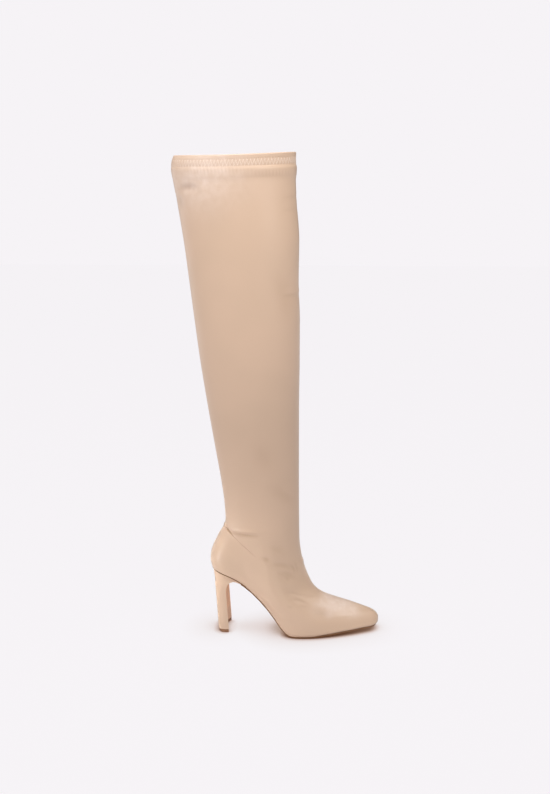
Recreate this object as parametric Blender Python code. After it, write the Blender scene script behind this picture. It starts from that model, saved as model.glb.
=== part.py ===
"""Thigh high boot for a right foot, on a covered block heel.

Metres, +Z up. X runs from heel to toe, +Y is the wearer's left, which is the inner side of a
right boot. The origin is the middle of the heel tip's contact with the floor.

The upper is one hollow wall. It is lofted through rings that run round the leg and foot: level
rings up the shaft, and rings that tilt with the foot below the ankle, down to the feather line,
where the upper meets the sole. Sole, insole and heel all take their shape from that last ring.
"""
import math
from collections import namedtuple

import bmesh
import bpy
import numpy as np

# Driving sizes of the whole boot
BOOT_HEIGHT = 0.646
SHOE_LENGTH = 0.2324
HEEL_BACK_X = -0.0150
HEEL_RISE = 0.0860
TOE_SPRING = 0.0065
TOE_SWING = 0.0080
BALL_WIDTH = 0.0760

# Shaft
ANKLE_RISE = 0.0730
ANKLE_DEPTH = 0.1011
ANKLE_WIDTH = 0.0600
COLLAR_WIDTH = 0.0920
SHAFT_LEAN = 0.0655
COLLAR_SLOPE = 0.0030
COLLAR_DIP = 0.0020
COLLAR_BLEND_POWER = 6

# Foot form
ANKLE_INSET = 0.0207
RIDGE_HEIGHT = 0.1536
FEATHER_TUCK = 0.0014
EASY_FALL_POWER = 1.35
TOE_SWING_POWER = 1.4
BALL_SHARE = 0.5

# Materials' thicknesses
SHAFT_WALL = 0.0015
FOOT_WALL = 0.0020
SOLE_THICKNESS = 0.0022
INSOLE_THICKNESS = 0.0020
HEEL_TIP_THICKNESS = 0.0040
GAP = 0.0003

# Overlays, all steps in the wall of the upper
HEM_HEIGHT = 0.0130
HEM_STEP = 0.0007
HEM_STEP_RUN = 0.0008
SEAM_BAND = 0.0034
SEAM_FLAT_SHARE = 0.5
SEAM_STEP = 0.0008
FOOT_STEP = 0.0004

# Heel
HEEL_TIP_WIDTH = 0.0430
HEEL_TIP_DEPTH = 0.0153
HEEL_BASE_BACK_SHARE = 0.287
HEEL_BASE_SQUARENESS = 4.4
HEEL_SEAT_INSET = 0.0007
HEEL_LIP_X = 0.0275
HEEL_LIP_EDGE = 0.0016
HEEL_LIP_LEAST_SHARE = 0.5
HEEL_LIP_BACK_SHARE = 0.975
HEEL_SCOOP = 0.0062

# Mesh counts. The columns crowd towards the toe and the heel by the warp, an angle, and the
# wall's thickness changes over this many rings below the ankle.
COLUMNS = 56
COLUMN_WARP = 0.12
WALL_BLEND_RINGS = 4
SEAT_COLUMNS = 20
HEEL_SIDE_STEPS = 12
HEEL_FRONT_STEPS = 8
SHARP_ANGLE = 40

# Steps for measuring a slope on the form, and tolerances
ANGLE_STEP = 0.02
RING_STEP = 0.08
SLOPE_REACH = 0.002
LEVEL_TOLERANCE = 0.00005
CUT_TOLERANCE = 0.001
MERGE_DISTANCE = 0.00001

# Derived heights
BALL_Z = SOLE_THICKNESS + GAP
ANKLE_Z = BALL_Z + HEEL_RISE + ANKLE_RISE
SHAFT_HEIGHT = BOOT_HEIGHT - ANKLE_Z
ANKLE_BACK_X = HEEL_BACK_X + ANKLE_INSET
ANKLE_FRONT_X = ANKLE_BACK_X + ANKLE_DEPTH
TOE_X = HEEL_BACK_X + SHOE_LENGTH

# The sole line, seen from the side. Station runs from heel to toe as a share of SHOE_LENGTH,
# rise is a share of HEEL_RISE and spring a share of TOE_SPRING.
SoleLine = namedtuple("SoleLine", "station rise spring")
SOLE_LINE = [
    SoleLine(0.000, 1.000, 0.00),
    SoleLine(0.050, 0.971, 0.00),
    SoleLine(0.106, 0.924, 0.00),
    SoleLine(0.163, 0.850, 0.00),
    SoleLine(0.193, 0.798, 0.00),
    SoleLine(0.245, 0.683, 0.00),
    SoleLine(0.283, 0.579, 0.00),
    SoleLine(0.321, 0.471, 0.00),
    SoleLine(0.360, 0.344, 0.00),
    SoleLine(0.398, 0.213, 0.00),
    SoleLine(0.428, 0.108, 0.00),
    SoleLine(0.455, 0.037, 0.00),
    SoleLine(0.485, 0.000, 0.00),
    SoleLine(0.585, 0.000, 0.00),
    SoleLine(0.700, 0.000, 0.42),
    SoleLine(0.800, 0.000, 0.74),
    SoleLine(0.900, 0.000, 0.93),
    SoleLine(1.000, 0.000, 1.00),
]

# Fullness of the outline, as shares of BALL_WIDTH. A ring's half width at a station is its
# fullness times the half width that a unit ellipse has there, so both ends stay round.
# The sole columns are the feather line, the body columns a ring at the height of the vamp.
Fullness = namedtuple("Fullness", "station sole_outer sole_inner body_outer body_inner")
FULLNESS = [
    Fullness(0.000, 0.680, 0.680, 0.680, 0.680),
    Fullness(0.050, 0.615, 0.615, 0.630, 0.630),
    Fullness(0.110, 0.510, 0.510, 0.540, 0.540),
    Fullness(0.190, 0.420, 0.415, 0.450, 0.450),
    Fullness(0.280, 0.370, 0.350, 0.400, 0.385),
    Fullness(0.360, 0.397, 0.360, 0.410, 0.385),
    Fullness(0.430, 0.474, 0.418, 0.450, 0.415),
    Fullness(0.520, 0.530, 0.468, 0.510, 0.455),
    Fullness(0.600, 0.537, 0.470, 0.510, 0.455),
    Fullness(0.700, 0.530, 0.466, 0.455, 0.410),
    Fullness(0.800, 0.515, 0.450, 0.415, 0.380),
    Fullness(0.900, 0.515, 0.435, 0.365, 0.345),
    Fullness(0.965, 0.620, 0.540, 0.345, 0.335),
    Fullness(1.000, 0.820, 0.720, 0.340, 0.330),
]

# Rings of the shaft, from the collar down. Height is a share of SHAFT_HEIGHT above the ankle,
# back and front are shares of SHAFT_LEAN that each edge lies behind its ankle point, and width
# is the share of the way from ANKLE_WIDTH to COLLAR_WIDTH.
ShaftRing = namedtuple("ShaftRing", "height back front width")
SHAFT_RINGS = [
    ShaftRing(1.000, 0.945, 0.100, 0.99),
    ShaftRing(0.985, 0.988, 0.104, 1.00),
    ShaftRing(0.970, 1.000, 0.102, 1.00),
    ShaftRing(0.944, 0.985, 0.100, 1.00),
    ShaftRing(0.878, 0.902, 0.080, 0.97),
    ShaftRing(0.773, 0.783, 0.024, 0.93),
    ShaftRing(0.665, 0.685, 0.032, 0.88),
    ShaftRing(0.556, 0.588, 0.004, 0.83),
    ShaftRing(0.445, 0.484, 0.005, 0.79),
    ShaftRing(0.333, 0.359, 0.012, 0.66),
    ShaftRing(0.218, 0.220, 0.011, 0.40),
    ShaftRing(0.103, 0.079, 0.008, 0.12),
    ShaftRing(0.044, 0.022, 0.004, 0.03),
    ShaftRing(0.000, 0.000, 0.000, 0.00),
]

# Rings of the foot, from below the ankle to the feather line. Back_x is a share of SHOE_LENGTH
# from the heel's back, back_z the share of ANKLE_RISE above the seat, ridge_x the share of the
# way from the ankle's front edge to the toe and ridge_z the share of RIDGE_HEIGHT above the
# ball. Spread goes from the ankle's oval to the body outline, close from the body outline to
# the sole outline, and follow is how closely the ring's side view follows the sole line. Rows
# is how many rows of faces lie between this ring and the one above it.
FootRing = namedtuple("FootRing", "back_x back_z ridge_x ridge_z spread close follow rows")
FOOT_RINGS = [
    FootRing(0.0885, 0.950, 0.004, 0.850, 0.05, 0.00, 0.00, 1),
    FootRing(0.0875, 0.915, 0.030, 0.690, 0.13, 0.00, 0.00, 1),
    FootRing(0.0850, 0.880, 0.088, 0.540, 0.20, 0.00, 0.00, 1),
    FootRing(0.0822, 0.849, 0.148, 0.440, 0.27, 0.00, 0.00, 1),
    FootRing(0.0735, 0.782, 0.200, 0.380, 0.37, 0.00, 0.04, 1),
    FootRing(0.0510, 0.663, 0.262, 0.340, 0.48, 0.00, 0.12, 2),
    FootRing(0.0330, 0.545, 0.352, 0.300, 0.62, 0.00, 0.26, 2),
    FootRing(0.0150, 0.425, 0.500, 0.262, 0.77, 0.00, 0.44, 2),
    FootRing(0.0035, 0.305, 0.665, 0.226, 0.90, 0.00, 0.62, 2),
    FootRing(0.0000, 0.195, 0.815, 0.186, 0.98, 0.02, 0.77, 2),
    FootRing(0.0008, 0.130, 0.925, 0.152, 1.00, 0.18, 0.86, 1),
    FootRing(0.0032, 0.090, 0.976, 0.122, 1.00, 0.38, 0.91, 1),
    FootRing(0.0058, 0.056, 1.000, 0.088, 1.00, 0.62, 0.95, 1),
    FootRing(0.0090, 0.028, 1.000, 0.062, 1.00, 0.84, 0.98, 1),
    FootRing(0.0120, 0.000, 0.992, 0.042, 1.00, 1.00, 1.00, 1),
]

# The ring that the counter seam runs along, by its number in the table above
SEAM_RING = 3

# Rings of the heel from its base up to the last one under the seat. Back and front are shares
# of the way from the base's edges to the seat's back edge and to the lip, the heights are
# shares of the heel's own height at its back, morph goes from the squared base outline to the
# round seat outline, and scoop is the share of HEEL_SCOOP that the breast is hollowed.
HeelRing = namedtuple("HeelRing", "back back_z front front_z morph scoop")
HEEL_RINGS = [
    HeelRing(0.00, 0.000, 0.000, 0.000, 0.00, 1.00),
    HeelRing(0.08, 0.092, -0.030, 0.092, 0.00, 1.00),
    HeelRing(0.28, 0.308, -0.100, 0.308, 0.02, 1.00),
    HeelRing(0.50, 0.525, -0.170, 0.525, 0.08, 1.00),
    HeelRing(0.66, 0.657, -0.205, 0.650, 0.18, 1.00),
    HeelRing(0.75, 0.733, -0.180, 0.722, 0.30, 0.95),
    HeelRing(0.82, 0.790, -0.080, 0.781, 0.45, 0.80),
    HeelRing(0.88, 0.845, 0.090, 0.815, 0.60, 0.60),
    HeelRing(0.93, 0.893, 0.350, 0.836, 0.75, 0.40),
    HeelRing(0.97, 0.940, 0.690, 0.835, 0.90, 0.20),
]

# Colours, as sRGB hex codes
UPPER_COLOUR = "D8BDA6"
SOLE_COLOUR = "7E573A"
TIP_COLOUR = "8A6145"
HEEL_COLOUR = "D9BFAB"
INSOLE_COLOUR = "DCC7B2"


def linear_colour(code):
    """Linear RGBA from an sRGB hex code."""
    channels = [int(code[i:i + 2], 16) / 255 for i in (0, 2, 4)]
    linear = [c / 12.92 if c <= 0.04045 else ((c + 0.055) / 1.055) ** 2.4 for c in channels]
    return (*linear, 1.0)


def make_material(name, code, roughness):
    """Principled material of one colour."""
    material = bpy.data.materials.new(name)
    material.use_nodes = True
    shader = material.node_tree.nodes["Principled BSDF"]
    shader.inputs["Base Color"].default_value = linear_colour(code)
    shader.inputs["Roughness"].default_value = roughness
    shader.inputs["Metallic"].default_value = 0.0
    return material


def curve(places, values, at):
    """Smooth curve through the rows of a table that never swings past them."""
    places = np.asarray(places, float)
    values = np.asarray(values, float)
    steps = np.diff(places)
    slopes = np.diff(values) / steps
    tangents = np.zeros(len(values))
    tangents[0] = slopes[0]
    tangents[-1] = slopes[-1]
    before, after = slopes[:-1], slopes[1:]
    weight_a = 2 * steps[1:] + steps[:-1]
    weight_b = steps[1:] + 2 * steps[:-1]
    same_way = before * after > 0
    safe_before = np.where(same_way, before, 1.0)
    safe_after = np.where(same_way, after, 1.0)
    mean = (weight_a + weight_b) / (weight_a / safe_before + weight_b / safe_after)
    tangents[1:-1] = np.where(same_way, mean, 0.0)
    at = np.clip(np.asarray(at, float), places[0], places[-1])
    row = np.clip(np.searchsorted(places, at, side="right") - 1, 0, len(steps) - 1)
    step = steps[row]
    t = (at - places[row]) / step
    return ((2 * t**3 - 3 * t**2 + 1) * values[row]
            + (t**3 - 2 * t**2 + t) * step * tangents[row]
            + (3 * t**2 - 2 * t**3) * values[row + 1]
            + (t**3 - t**2) * step * tangents[row + 1])


def column(table, name):
    """One named column of a table."""
    return np.array([getattr(row, name) for row in table])


def column_angles():
    """Angle of each column of points round a ring, 0 at the toe, growing over the inner side."""
    turn = np.arange(COLUMNS) * 2 * math.pi / COLUMNS
    return turn + COLUMN_WARP * np.sin(2 * turn)


def smooth_sole_height(x):
    """Height of the feather line at a place along the shoe."""
    station = (x - HEEL_BACK_X) / SHOE_LENGTH
    places = column(SOLE_LINE, "station")
    heights = (BALL_Z + column(SOLE_LINE, "rise") * HEEL_RISE
               + column(SOLE_LINE, "spring") * TOE_SPRING)
    return curve(places, heights, station)


def ring_rows():
    """Every ring from collar to feather line, as a table of real sizes."""
    rings = []
    for ring in SHAFT_RINGS:
        height = ANKLE_Z + ring.height * SHAFT_HEIGHT
        near_collar = ring.height ** COLLAR_BLEND_POWER
        half = (ANKLE_WIDTH + ring.width * (COLLAR_WIDTH - ANKLE_WIDTH)) / 2
        rings.append((ANKLE_BACK_X - ring.back * SHAFT_LEAN, height - COLLAR_SLOPE * near_collar,
                      ANKLE_FRONT_X - ring.front * SHAFT_LEAN, height + COLLAR_SLOPE * near_collar,
                      half, COLLAR_DIP * near_collar, 0.0, 0.0, 0.0))
    ridge_run = TOE_X - ANKLE_FRONT_X
    seat_z = BALL_Z + HEEL_RISE
    for ring in FOOT_RINGS:
        rings.append((HEEL_BACK_X + ring.back_x * SHOE_LENGTH, seat_z + ring.back_z * ANKLE_RISE,
                      ANKLE_FRONT_X + ring.ridge_x * ridge_run, BALL_Z + ring.ridge_z * RIDGE_HEIGHT,
                      ANKLE_WIDTH / 2, 0.0, ring.spread, ring.close, ring.follow))
    return np.array(rings)


RINGS = ring_rows()
ANKLE_RING = len(SHAFT_RINGS) - 1
FEATHER_RING = len(RINGS) - 1
SEAM_PLACE = ANKLE_RING + 1 + SEAM_RING


def ring_points(place, angles):
    """Points of the outer face on rings at one place each, a place being a ring's number."""
    place = np.broadcast_to(np.asarray(place, float), angles.shape)
    numbers = np.arange(len(RINGS))
    back_x, back_z, front_x, front_z, half, dip, spread, close, follow = (
        curve(numbers, RINGS[:, k], place) for k in range(RINGS.shape[1]))
    along = (1 + np.cos(angles)) / 2
    x = back_x + (front_x - back_x) * along

    heel_z = float(smooth_sole_height(np.array(HEEL_BACK_X)))
    toe_z = float(smooth_sole_height(np.array(TOE_X)))
    sole_fall = ((heel_z - smooth_sole_height(HEEL_BACK_X + along * SHOE_LENGTH))
                 / (heel_z - toe_z))
    easy_fall = 1 - (1 - along) ** EASY_FALL_POWER
    fall = easy_fall + follow * (sole_fall - easy_fall)
    z = back_z + (front_z - back_z) * fall - dip * np.sin(angles) ** 2

    inner = np.sin(angles) >= 0
    stations = column(FULLNESS, "station")
    body = np.where(inner, curve(stations, column(FULLNESS, "body_inner"), along),
                    curve(stations, column(FULLNESS, "body_outer"), along)) * BALL_WIDTH
    sole = np.where(inner, curve(stations, column(FULLNESS, "sole_inner"), along),
                    curve(stations, column(FULLNESS, "sole_outer"), along)) * BALL_WIDTH
    foot = body + close * (sole - body)
    width = half + spread * (foot - half)
    ball_x = HEEL_BACK_X + BALL_SHARE * SHOE_LENGTH
    ahead = np.clip((x - ball_x) / (TOE_X - ball_x), 0, 1)
    y = width * np.sin(angles) + TOE_SWING * ahead ** TOE_SWING_POWER
    return np.stack([x, y, z], axis=-1)


def unit(vectors):
    """Vectors of length one."""
    return vectors / np.linalg.norm(vectors, axis=-1, keepdims=True)


def outward(place, angles):
    """Outward direction of the outer face, and how far one ring's step goes there."""
    low = np.clip(np.asarray(place, float) - RING_STEP, 0, FEATHER_RING)
    high = np.clip(np.asarray(place, float) + RING_STEP, 0, FEATHER_RING)
    around = ring_points(place, angles + ANGLE_STEP) - ring_points(place, angles - ANGLE_STEP)
    down = ring_points(high, angles) - ring_points(low, angles)
    speed = np.linalg.norm(down, axis=-1) / (high - low)
    return unit(np.cross(down, around)), speed


def outline_inset(points, distance):
    """A closed ring of points moved inwards in plan, each by the same distance."""
    following = np.roll(points, -1, axis=0)[:, :2]
    previous = np.roll(points, 1, axis=0)[:, :2]
    tangent = unit(following - previous)
    moved = points.copy()
    moved[:, 0] -= distance * tangent[:, 1]
    moved[:, 1] += distance * tangent[:, 0]
    return moved


def feather_outline():
    """Outer edge of the upper where it meets the sole, tucked in under the foot."""
    ring = ring_points(FEATHER_RING, column_angles())
    ring = outline_inset(ring, FEATHER_TUCK)
    ring[:, 2] = smooth_sole_height(ring[:, 0])
    return ring


def sole_polygon():
    """Places and heights of the feather line's own corners, sorted from heel to toe."""
    ring = feather_outline()[:COLUMNS // 2 + 1]
    order = np.argsort(ring[:, 0])
    return ring[order, 0], ring[order, 2]


def sole_height(x):
    """Height of the faceted feather line, which every piece that meets it follows."""
    places, heights = sole_polygon()
    return np.interp(x, places, heights)


def upright_gap(x):
    """Vertical distance that leaves the gap square to the sloping sole."""
    run = 2 * SLOPE_REACH
    slope = (sole_height(x + SLOPE_REACH) - sole_height(x - SLOPE_REACH)) / run
    return GAP * np.sqrt(1 + slope ** 2)


def outer_rows():
    """Places of the rows of the outer face, each with its added height over the wall."""
    angles = column_angles()
    rows = []

    def add(place, raised):
        rows.append((np.broadcast_to(np.asarray(place, float), angles.shape), raised))

    hem_share = 1 - HEM_HEIGHT / SHAFT_HEIGHT
    heights = column(SHAFT_RINGS, "height")
    numbers = np.arange(len(SHAFT_RINGS))
    hem_place = np.interp(-hem_share, -heights, numbers)
    step_place = np.interp(-(hem_share - HEM_STEP_RUN / SHAFT_HEIGHT), -heights, numbers)
    for number in numbers:
        if number < hem_place:
            add(number, HEM_STEP)
    add(hem_place, HEM_STEP)
    add(step_place, 0.0)
    for number in numbers:
        if number > step_place:
            add(number, 0.0)

    speed = outward(np.full(COLUMNS, float(SEAM_PLACE)), angles)[1]
    reach = (SEAM_BAND / 2) / speed
    for index, ring in enumerate(FOOT_RINGS):
        place = ANKLE_RING + 1 + index
        if index == SEAM_RING:
            add(place - reach, 0.0)
            add(place - SEAM_FLAT_SHARE * reach, SEAM_STEP)
            add(place + SEAM_FLAT_SHARE * reach, SEAM_STEP)
            add(place + reach, FOOT_STEP)
            continue
        for extra in range(ring.rows):
            raised = FOOT_STEP if index > SEAM_RING else 0.0
            add(place - (ring.rows - 1 - extra) / ring.rows, raised)
    return rows


def outer_grid():
    """Rows of points of the outer face, from the collar to the feather line."""
    angles = column_angles()
    grid = []
    for place, raised in outer_rows()[:-1]:
        direction = outward(place, angles)[0]
        grid.append(ring_points(place, angles) + raised * direction)
    grid.append(feather_outline())
    return grid


def inner_grid():
    """Rows of points of the inner face, one for each ring."""
    angles = column_angles()
    grid = []
    for number in range(FEATHER_RING):
        share = np.clip((number - ANKLE_RING) / WALL_BLEND_RINGS, 0, 1)
        wall = SHAFT_WALL + share * (FOOT_WALL - SHAFT_WALL)
        direction = outward(np.full(COLUMNS, float(number)), angles)[0]
        row = ring_points(number, angles) - wall * direction
        if number == 0:
            row[:, 2] = outer_grid()[0][:, 2]
        grid.append(row)
    last = outline_inset(feather_outline(), FOOT_WALL)
    last[:, 2] = sole_height(last[:, 0])
    grid.append(last)
    return grid


def mesh_object(name, bm, material):
    """Scene object from a bmesh, closed, with its faces out and its rounds smooth."""
    bmesh.ops.recalc_face_normals(bm, faces=bm.faces)
    mesh = bpy.data.meshes.new(name)
    bm.to_mesh(mesh)
    bm.free()
    mesh.materials.append(material)
    mesh.shade_smooth()
    mesh.set_sharp_from_angle(angle=math.radians(SHARP_ANGLE))
    item = bpy.data.objects.new(name, mesh)
    bpy.context.scene.collection.objects.link(item)
    return item


def add_loop(bm, points):
    """Vertices of one ring of points."""
    return [bm.verts.new(tuple(float(value) for value in point)) for point in points]


def join_loops(bm, upper_loop, lower_loop):
    """Band of quads between two closed rings of vertices."""
    count = len(upper_loop)
    for i in range(count):
        j = (i + 1) % count
        bm.faces.new((upper_loop[i], upper_loop[j], lower_loop[j], lower_loop[i]))


def make_upper():
    """Shaft and foot in one wall, open at the collar and underneath."""
    bm = bmesh.new()
    outer = [add_loop(bm, row) for row in outer_grid()]
    inner = [add_loop(bm, row) for row in inner_grid()]
    loops = outer + inner[::-1]
    for first, second in zip(loops, loops[1:] + loops[:1]):
        join_loops(bm, first, second)
    material = make_material("stretch_faux_leather", UPPER_COLOUR, 0.55)
    return mesh_object("upper", bm, material)


def slab(name, stations, material):
    """Solid strip under the foot. A station is x of both edges, y of both, bottom and top."""
    bm = bmesh.new()
    loops = []
    for outer_x, inner_x, outer_y, inner_y, bottom, top in stations:
        corners = [(outer_x, outer_y, bottom[0]), (inner_x, inner_y, bottom[1]),
                   (inner_x, inner_y, top[1]), (outer_x, outer_y, top[0])]
        loops.append(add_loop(bm, corners))
    for first, second in zip(loops, loops[1:]):
        join_loops(bm, first, second)
    bm.faces.new(loops[0])
    bm.faces.new(loops[-1])
    bmesh.ops.remove_doubles(bm, verts=bm.verts, dist=MERGE_DISTANCE)
    return mesh_object(name, bm, material)


def paired_stations(ring, first_x):
    """Outer and inner points of an outline at equal columns, from a place on to the toe."""
    half = COLUMNS // 2
    pairs = []
    for number in range(half, -1, -1):
        inner = ring[number]
        outer = ring[(COLUMNS - number) % COLUMNS]
        pairs.append((outer, inner))
    cut_x = first_x + CUT_TOLERANCE
    ahead = [pair for pair in pairs if min(pair[0][0], pair[1][0]) > cut_x]
    behind = [pair for pair in pairs if min(pair[0][0], pair[1][0]) <= cut_x]
    if behind:
        ends = []
        for side in (0, 1):
            back, front = behind[-1][side], ahead[0][side]
            share = (first_x - back[0]) / (front[0] - back[0])
            ends.append(back + share * (front - back))
        ahead.insert(0, tuple(ends))
    return ahead


def make_outsole():
    """Thin sole from the heel's lip to the toe, flat under the ball."""
    ring = outline_inset(feather_outline(), GAP)
    stations = []
    for outer, inner in paired_stations(ring, HEEL_LIP_X + GAP):
        edges = np.array([outer[0], inner[0]])
        top = sole_height(edges) - upright_gap(edges)
        level = np.abs(top - SOLE_THICKNESS) < LEVEL_TOLERANCE
        top = np.where(level, SOLE_THICKNESS, top)
        stations.append((outer[0], inner[0], outer[1], inner[1], top - SOLE_THICKNESS, top))
    return slab("outsole", stations, make_material("moulded_sole_rubber", SOLE_COLOUR, 0.5))


def make_insole():
    """Board and sock inside the foot, a gap clear of the wall all round."""
    ring = outline_inset(feather_outline(), FOOT_WALL + GAP)
    stations = []
    for outer, inner in paired_stations(ring, -SHOE_LENGTH):
        edges = np.array([outer[0], inner[0]])
        bottom = sole_height(edges)
        stations.append((outer[0], inner[0], outer[1], inner[1],
                         bottom, bottom + INSOLE_THICKNESS))
    return slab("insole", stations, make_material("sock_lining_textile", INSOLE_COLOUR, 0.7))


def seat_half_widths(x):
    """Outer and inner half widths of the heel's seat at a place along it."""
    ring = outline_inset(feather_outline(), HEEL_SEAT_INSET)
    half = COLUMNS // 2
    inner = ring[half:half - SEAT_COLUMNS:-1]
    outer = ring[half:half + SEAT_COLUMNS]
    return (-np.interp(x, outer[:, 0], outer[:, 1]), np.interp(x, inner[:, 0], inner[:, 1]))


def seat_back_x():
    """Rearmost place of the heel's seat."""
    return float(outline_inset(feather_outline(), HEEL_SEAT_INSET)[:, 0].min())


def squared_half(share):
    """Half outline of the heel's base, from the middle of its back to a front corner."""
    turn = share * math.pi / 2
    power = 2 / HEEL_BASE_SQUARENESS
    along = 1 - max(math.cos(turn), 0.0) ** power
    across = math.sin(turn) ** power
    return along, across


def heel_outline(back, front, morph, scoop, heights):
    """Closed ring of the heel: outer side, breast, inner side."""
    base_half = HEEL_TIP_WIDTH / 2
    sides = {-1: [], 1: []}
    for step in range(HEEL_SIDE_STEPS + 1):
        share = step / HEEL_SIDE_STEPS
        along, across = squared_half(share)
        round_along = 1 - math.cos(share * math.pi / 2)
        x = back + (front - back) * (along + morph * (round_along - along))
        seat_x = seat_back_x() + (HEEL_LIP_X - seat_back_x()) * (x - back) / (front - back)
        near = morph * x + (1 - morph) * seat_x
        seat = seat_half_widths(near)
        for side, seat_half in ((-1, seat[0]), (1, seat[1])):
            y = base_half * across + morph * (float(seat_half) - base_half * across)
            sides[side].append((x, side * y))
    outer_corner, inner_corner = sides[-1][-1], sides[1][-1]
    breast = []
    for step in range(1, HEEL_FRONT_STEPS):
        share = step / HEEL_FRONT_STEPS
        hollow = HEEL_SCOOP * scoop * (1 - (2 * share - 1) ** 2)
        y = outer_corner[1] + share * (inner_corner[1] - outer_corner[1])
        breast.append((front - hollow, y))
    plan = sides[-1] + breast + sides[1][:0:-1]
    back_z, front_z = heights
    return [(x, y, back_z + (front_z - back_z) * (x - back) / (front - back)) for x, y in plan]


def seat_outline():
    """Top ring of the heel, which lies against the upper and the insole."""
    plan = heel_outline(seat_back_x(), HEEL_LIP_X, 1.0, 0.0, (0.0, 0.0))
    return [(x, y, float(sole_height(x) - upright_gap(np.array(x)))) for x, y, _ in plan]


def heel_base_edges():
    """Back and front of the heel's base."""
    back = -HEEL_BASE_BACK_SHARE * HEEL_TIP_DEPTH
    return back, back + HEEL_TIP_DEPTH


def make_heel():
    """Covered heel: squared base, scooped breast, round seat and a thin lip to the front."""
    base_z = HEEL_TIP_THICKNESS + GAP
    seat = seat_outline()
    seat_back = seat[0]
    base_back, base_front = heel_base_edges()
    rise = seat_back[2] - base_z
    rings = []
    for ring in HEEL_RINGS:
        back = base_back + ring.back * (seat_back[0] - base_back)
        front = base_front + ring.front * (HEEL_LIP_X - base_front)
        heights = (base_z + ring.back_z * rise, base_z + ring.front_z * rise)
        rings.append(heel_outline(back, front, ring.morph, ring.scoop, heights))
    lip_z = float(sole_height(HEEL_LIP_X)) - HEEL_LIP_EDGE
    lip_back_z = base_z + HEEL_LIP_BACK_SHARE * rise
    lip = heel_outline(seat_back[0], HEEL_LIP_X, 1.0, 0.0, (lip_back_z, lip_z))
    least = HEEL_LIP_LEAST_SHARE * HEEL_LIP_EDGE
    below = [min(point[2], top[2] - least) for point, top in zip(lip, seat)]
    rings.append([(x, y, z) for (x, y, _), z in zip(lip, below)])
    rings.append(seat)

    bm = bmesh.new()
    loops = [add_loop(bm, ring) for ring in rings]
    for first, second in zip(loops, loops[1:]):
        join_loops(bm, first, second)
    bm.faces.new(loops[0])
    top = loops[-1]
    count = len(top)
    bm.faces.new((top[0], top[1], top[-1]))
    for i in range(1, HEEL_SIDE_STEPS - 1):
        bm.faces.new((top[i], top[i + 1], top[count - i - 1], top[count - i]))
    last = HEEL_SIDE_STEPS - 1
    bm.faces.new(top[last:count - last + 1])
    return mesh_object("heel", bm, make_material("faux_leather_heel_cover", HEEL_COLOUR, 0.5))


def make_heel_tip():
    """Top piece under the heel, a hair smaller than the heel's base."""
    back, front = heel_base_edges()
    rings = [heel_outline(back, front, 0.0, 1.0, (z, z)) for z in (0.0, HEEL_TIP_THICKNESS)]
    bm = bmesh.new()
    loops = [add_loop(bm, ring) for ring in rings]
    join_loops(bm, *loops)
    for loop in loops:
        bm.faces.new(loop)
    return mesh_object("heel_tip", bm, make_material("top_piece_rubber", TIP_COLOUR, 0.6))


def clear_scene():
    """Start from an empty scene."""
    for item in list(bpy.data.objects):
        bpy.data.objects.remove(item, do_unlink=True)


def main():
    """Build the five pieces."""
    clear_scene()
    make_upper()
    make_outsole()
    make_insole()
    make_heel()
    make_heel_tip()


main()
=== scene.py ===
# %% [markdown]
# # A thigh high boot on a slim covered heel
# The boot is a long tube of thin stretch material, coated to look like leather, sewn to a foot
# part that is pulled over a last and cemented to a thin sole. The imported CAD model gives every
# size and place. This script loads it as a fixed frame and dresses it: a smooth skin with the
# folds that a standing boot shows, a stitched hem, and a finish for each real material.

# %% Load the frame
import math
from collections import namedtuple

import bmesh
import bpy
import numpy as np
from mathutils import Matrix, Vector


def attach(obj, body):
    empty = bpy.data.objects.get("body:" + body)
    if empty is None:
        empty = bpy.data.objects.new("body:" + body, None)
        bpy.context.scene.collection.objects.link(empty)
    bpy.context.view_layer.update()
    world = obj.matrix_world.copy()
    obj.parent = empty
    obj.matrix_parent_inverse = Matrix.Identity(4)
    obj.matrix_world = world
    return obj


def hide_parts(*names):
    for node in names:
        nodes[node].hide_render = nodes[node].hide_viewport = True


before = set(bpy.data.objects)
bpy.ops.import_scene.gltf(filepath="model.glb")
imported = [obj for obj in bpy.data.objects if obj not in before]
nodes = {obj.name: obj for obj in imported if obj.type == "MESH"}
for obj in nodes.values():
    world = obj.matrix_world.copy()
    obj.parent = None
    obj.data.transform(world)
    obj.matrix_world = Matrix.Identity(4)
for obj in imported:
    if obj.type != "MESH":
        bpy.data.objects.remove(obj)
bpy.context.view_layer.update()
print("CAD nodes:", sorted(nodes))

# %% [markdown]
# ## The camera
# The boot is seen from its outer side, from a little above and a few degrees towards the toe.
# The place was worked out from the two edges of the heel tip and the height of the collar, so
# that the sole and the shaft fall on the same spots of the picture as in the photograph.

# %% Camera
CAMERA_TARGET_X = 0.0736
CAMERA_DISTANCE = 1.447
CAMERA_TURN = math.radians(3.0)
CAMERA_HEIGHT = 0.6254
CAMERA_TILT = math.radians(11.6)

bpy.ops.object.select_all(action="DESELECT")
camera_place = (CAMERA_TARGET_X + CAMERA_DISTANCE * math.sin(CAMERA_TURN),
                -CAMERA_DISTANCE * math.cos(CAMERA_TURN), CAMERA_HEIGHT)
bpy.ops.object.camera_add(location=camera_place,
                          rotation=(math.pi / 2 - CAMERA_TILT, 0, CAMERA_TURN))
camera = bpy.context.object
camera.data.lens = 50
camera.data.sensor_width = 36
bpy.context.scene.camera = camera
print("camera stands at", [round(value, 3) for value in camera_place])

# %% [markdown]
# ## Small helpers
# Operators act on everything that is selected, so one helper makes a single object the only one
# that is selected and active. A second copies a CAD node and merges its loose triangles, because
# the node itself must stay as it is.

# %% Selecting and copying
def only(item):
    """Select one object alone and make it the active one."""
    bpy.ops.object.select_all(action="DESELECT")
    item.select_set(True)
    bpy.context.view_layer.objects.active = item


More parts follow.
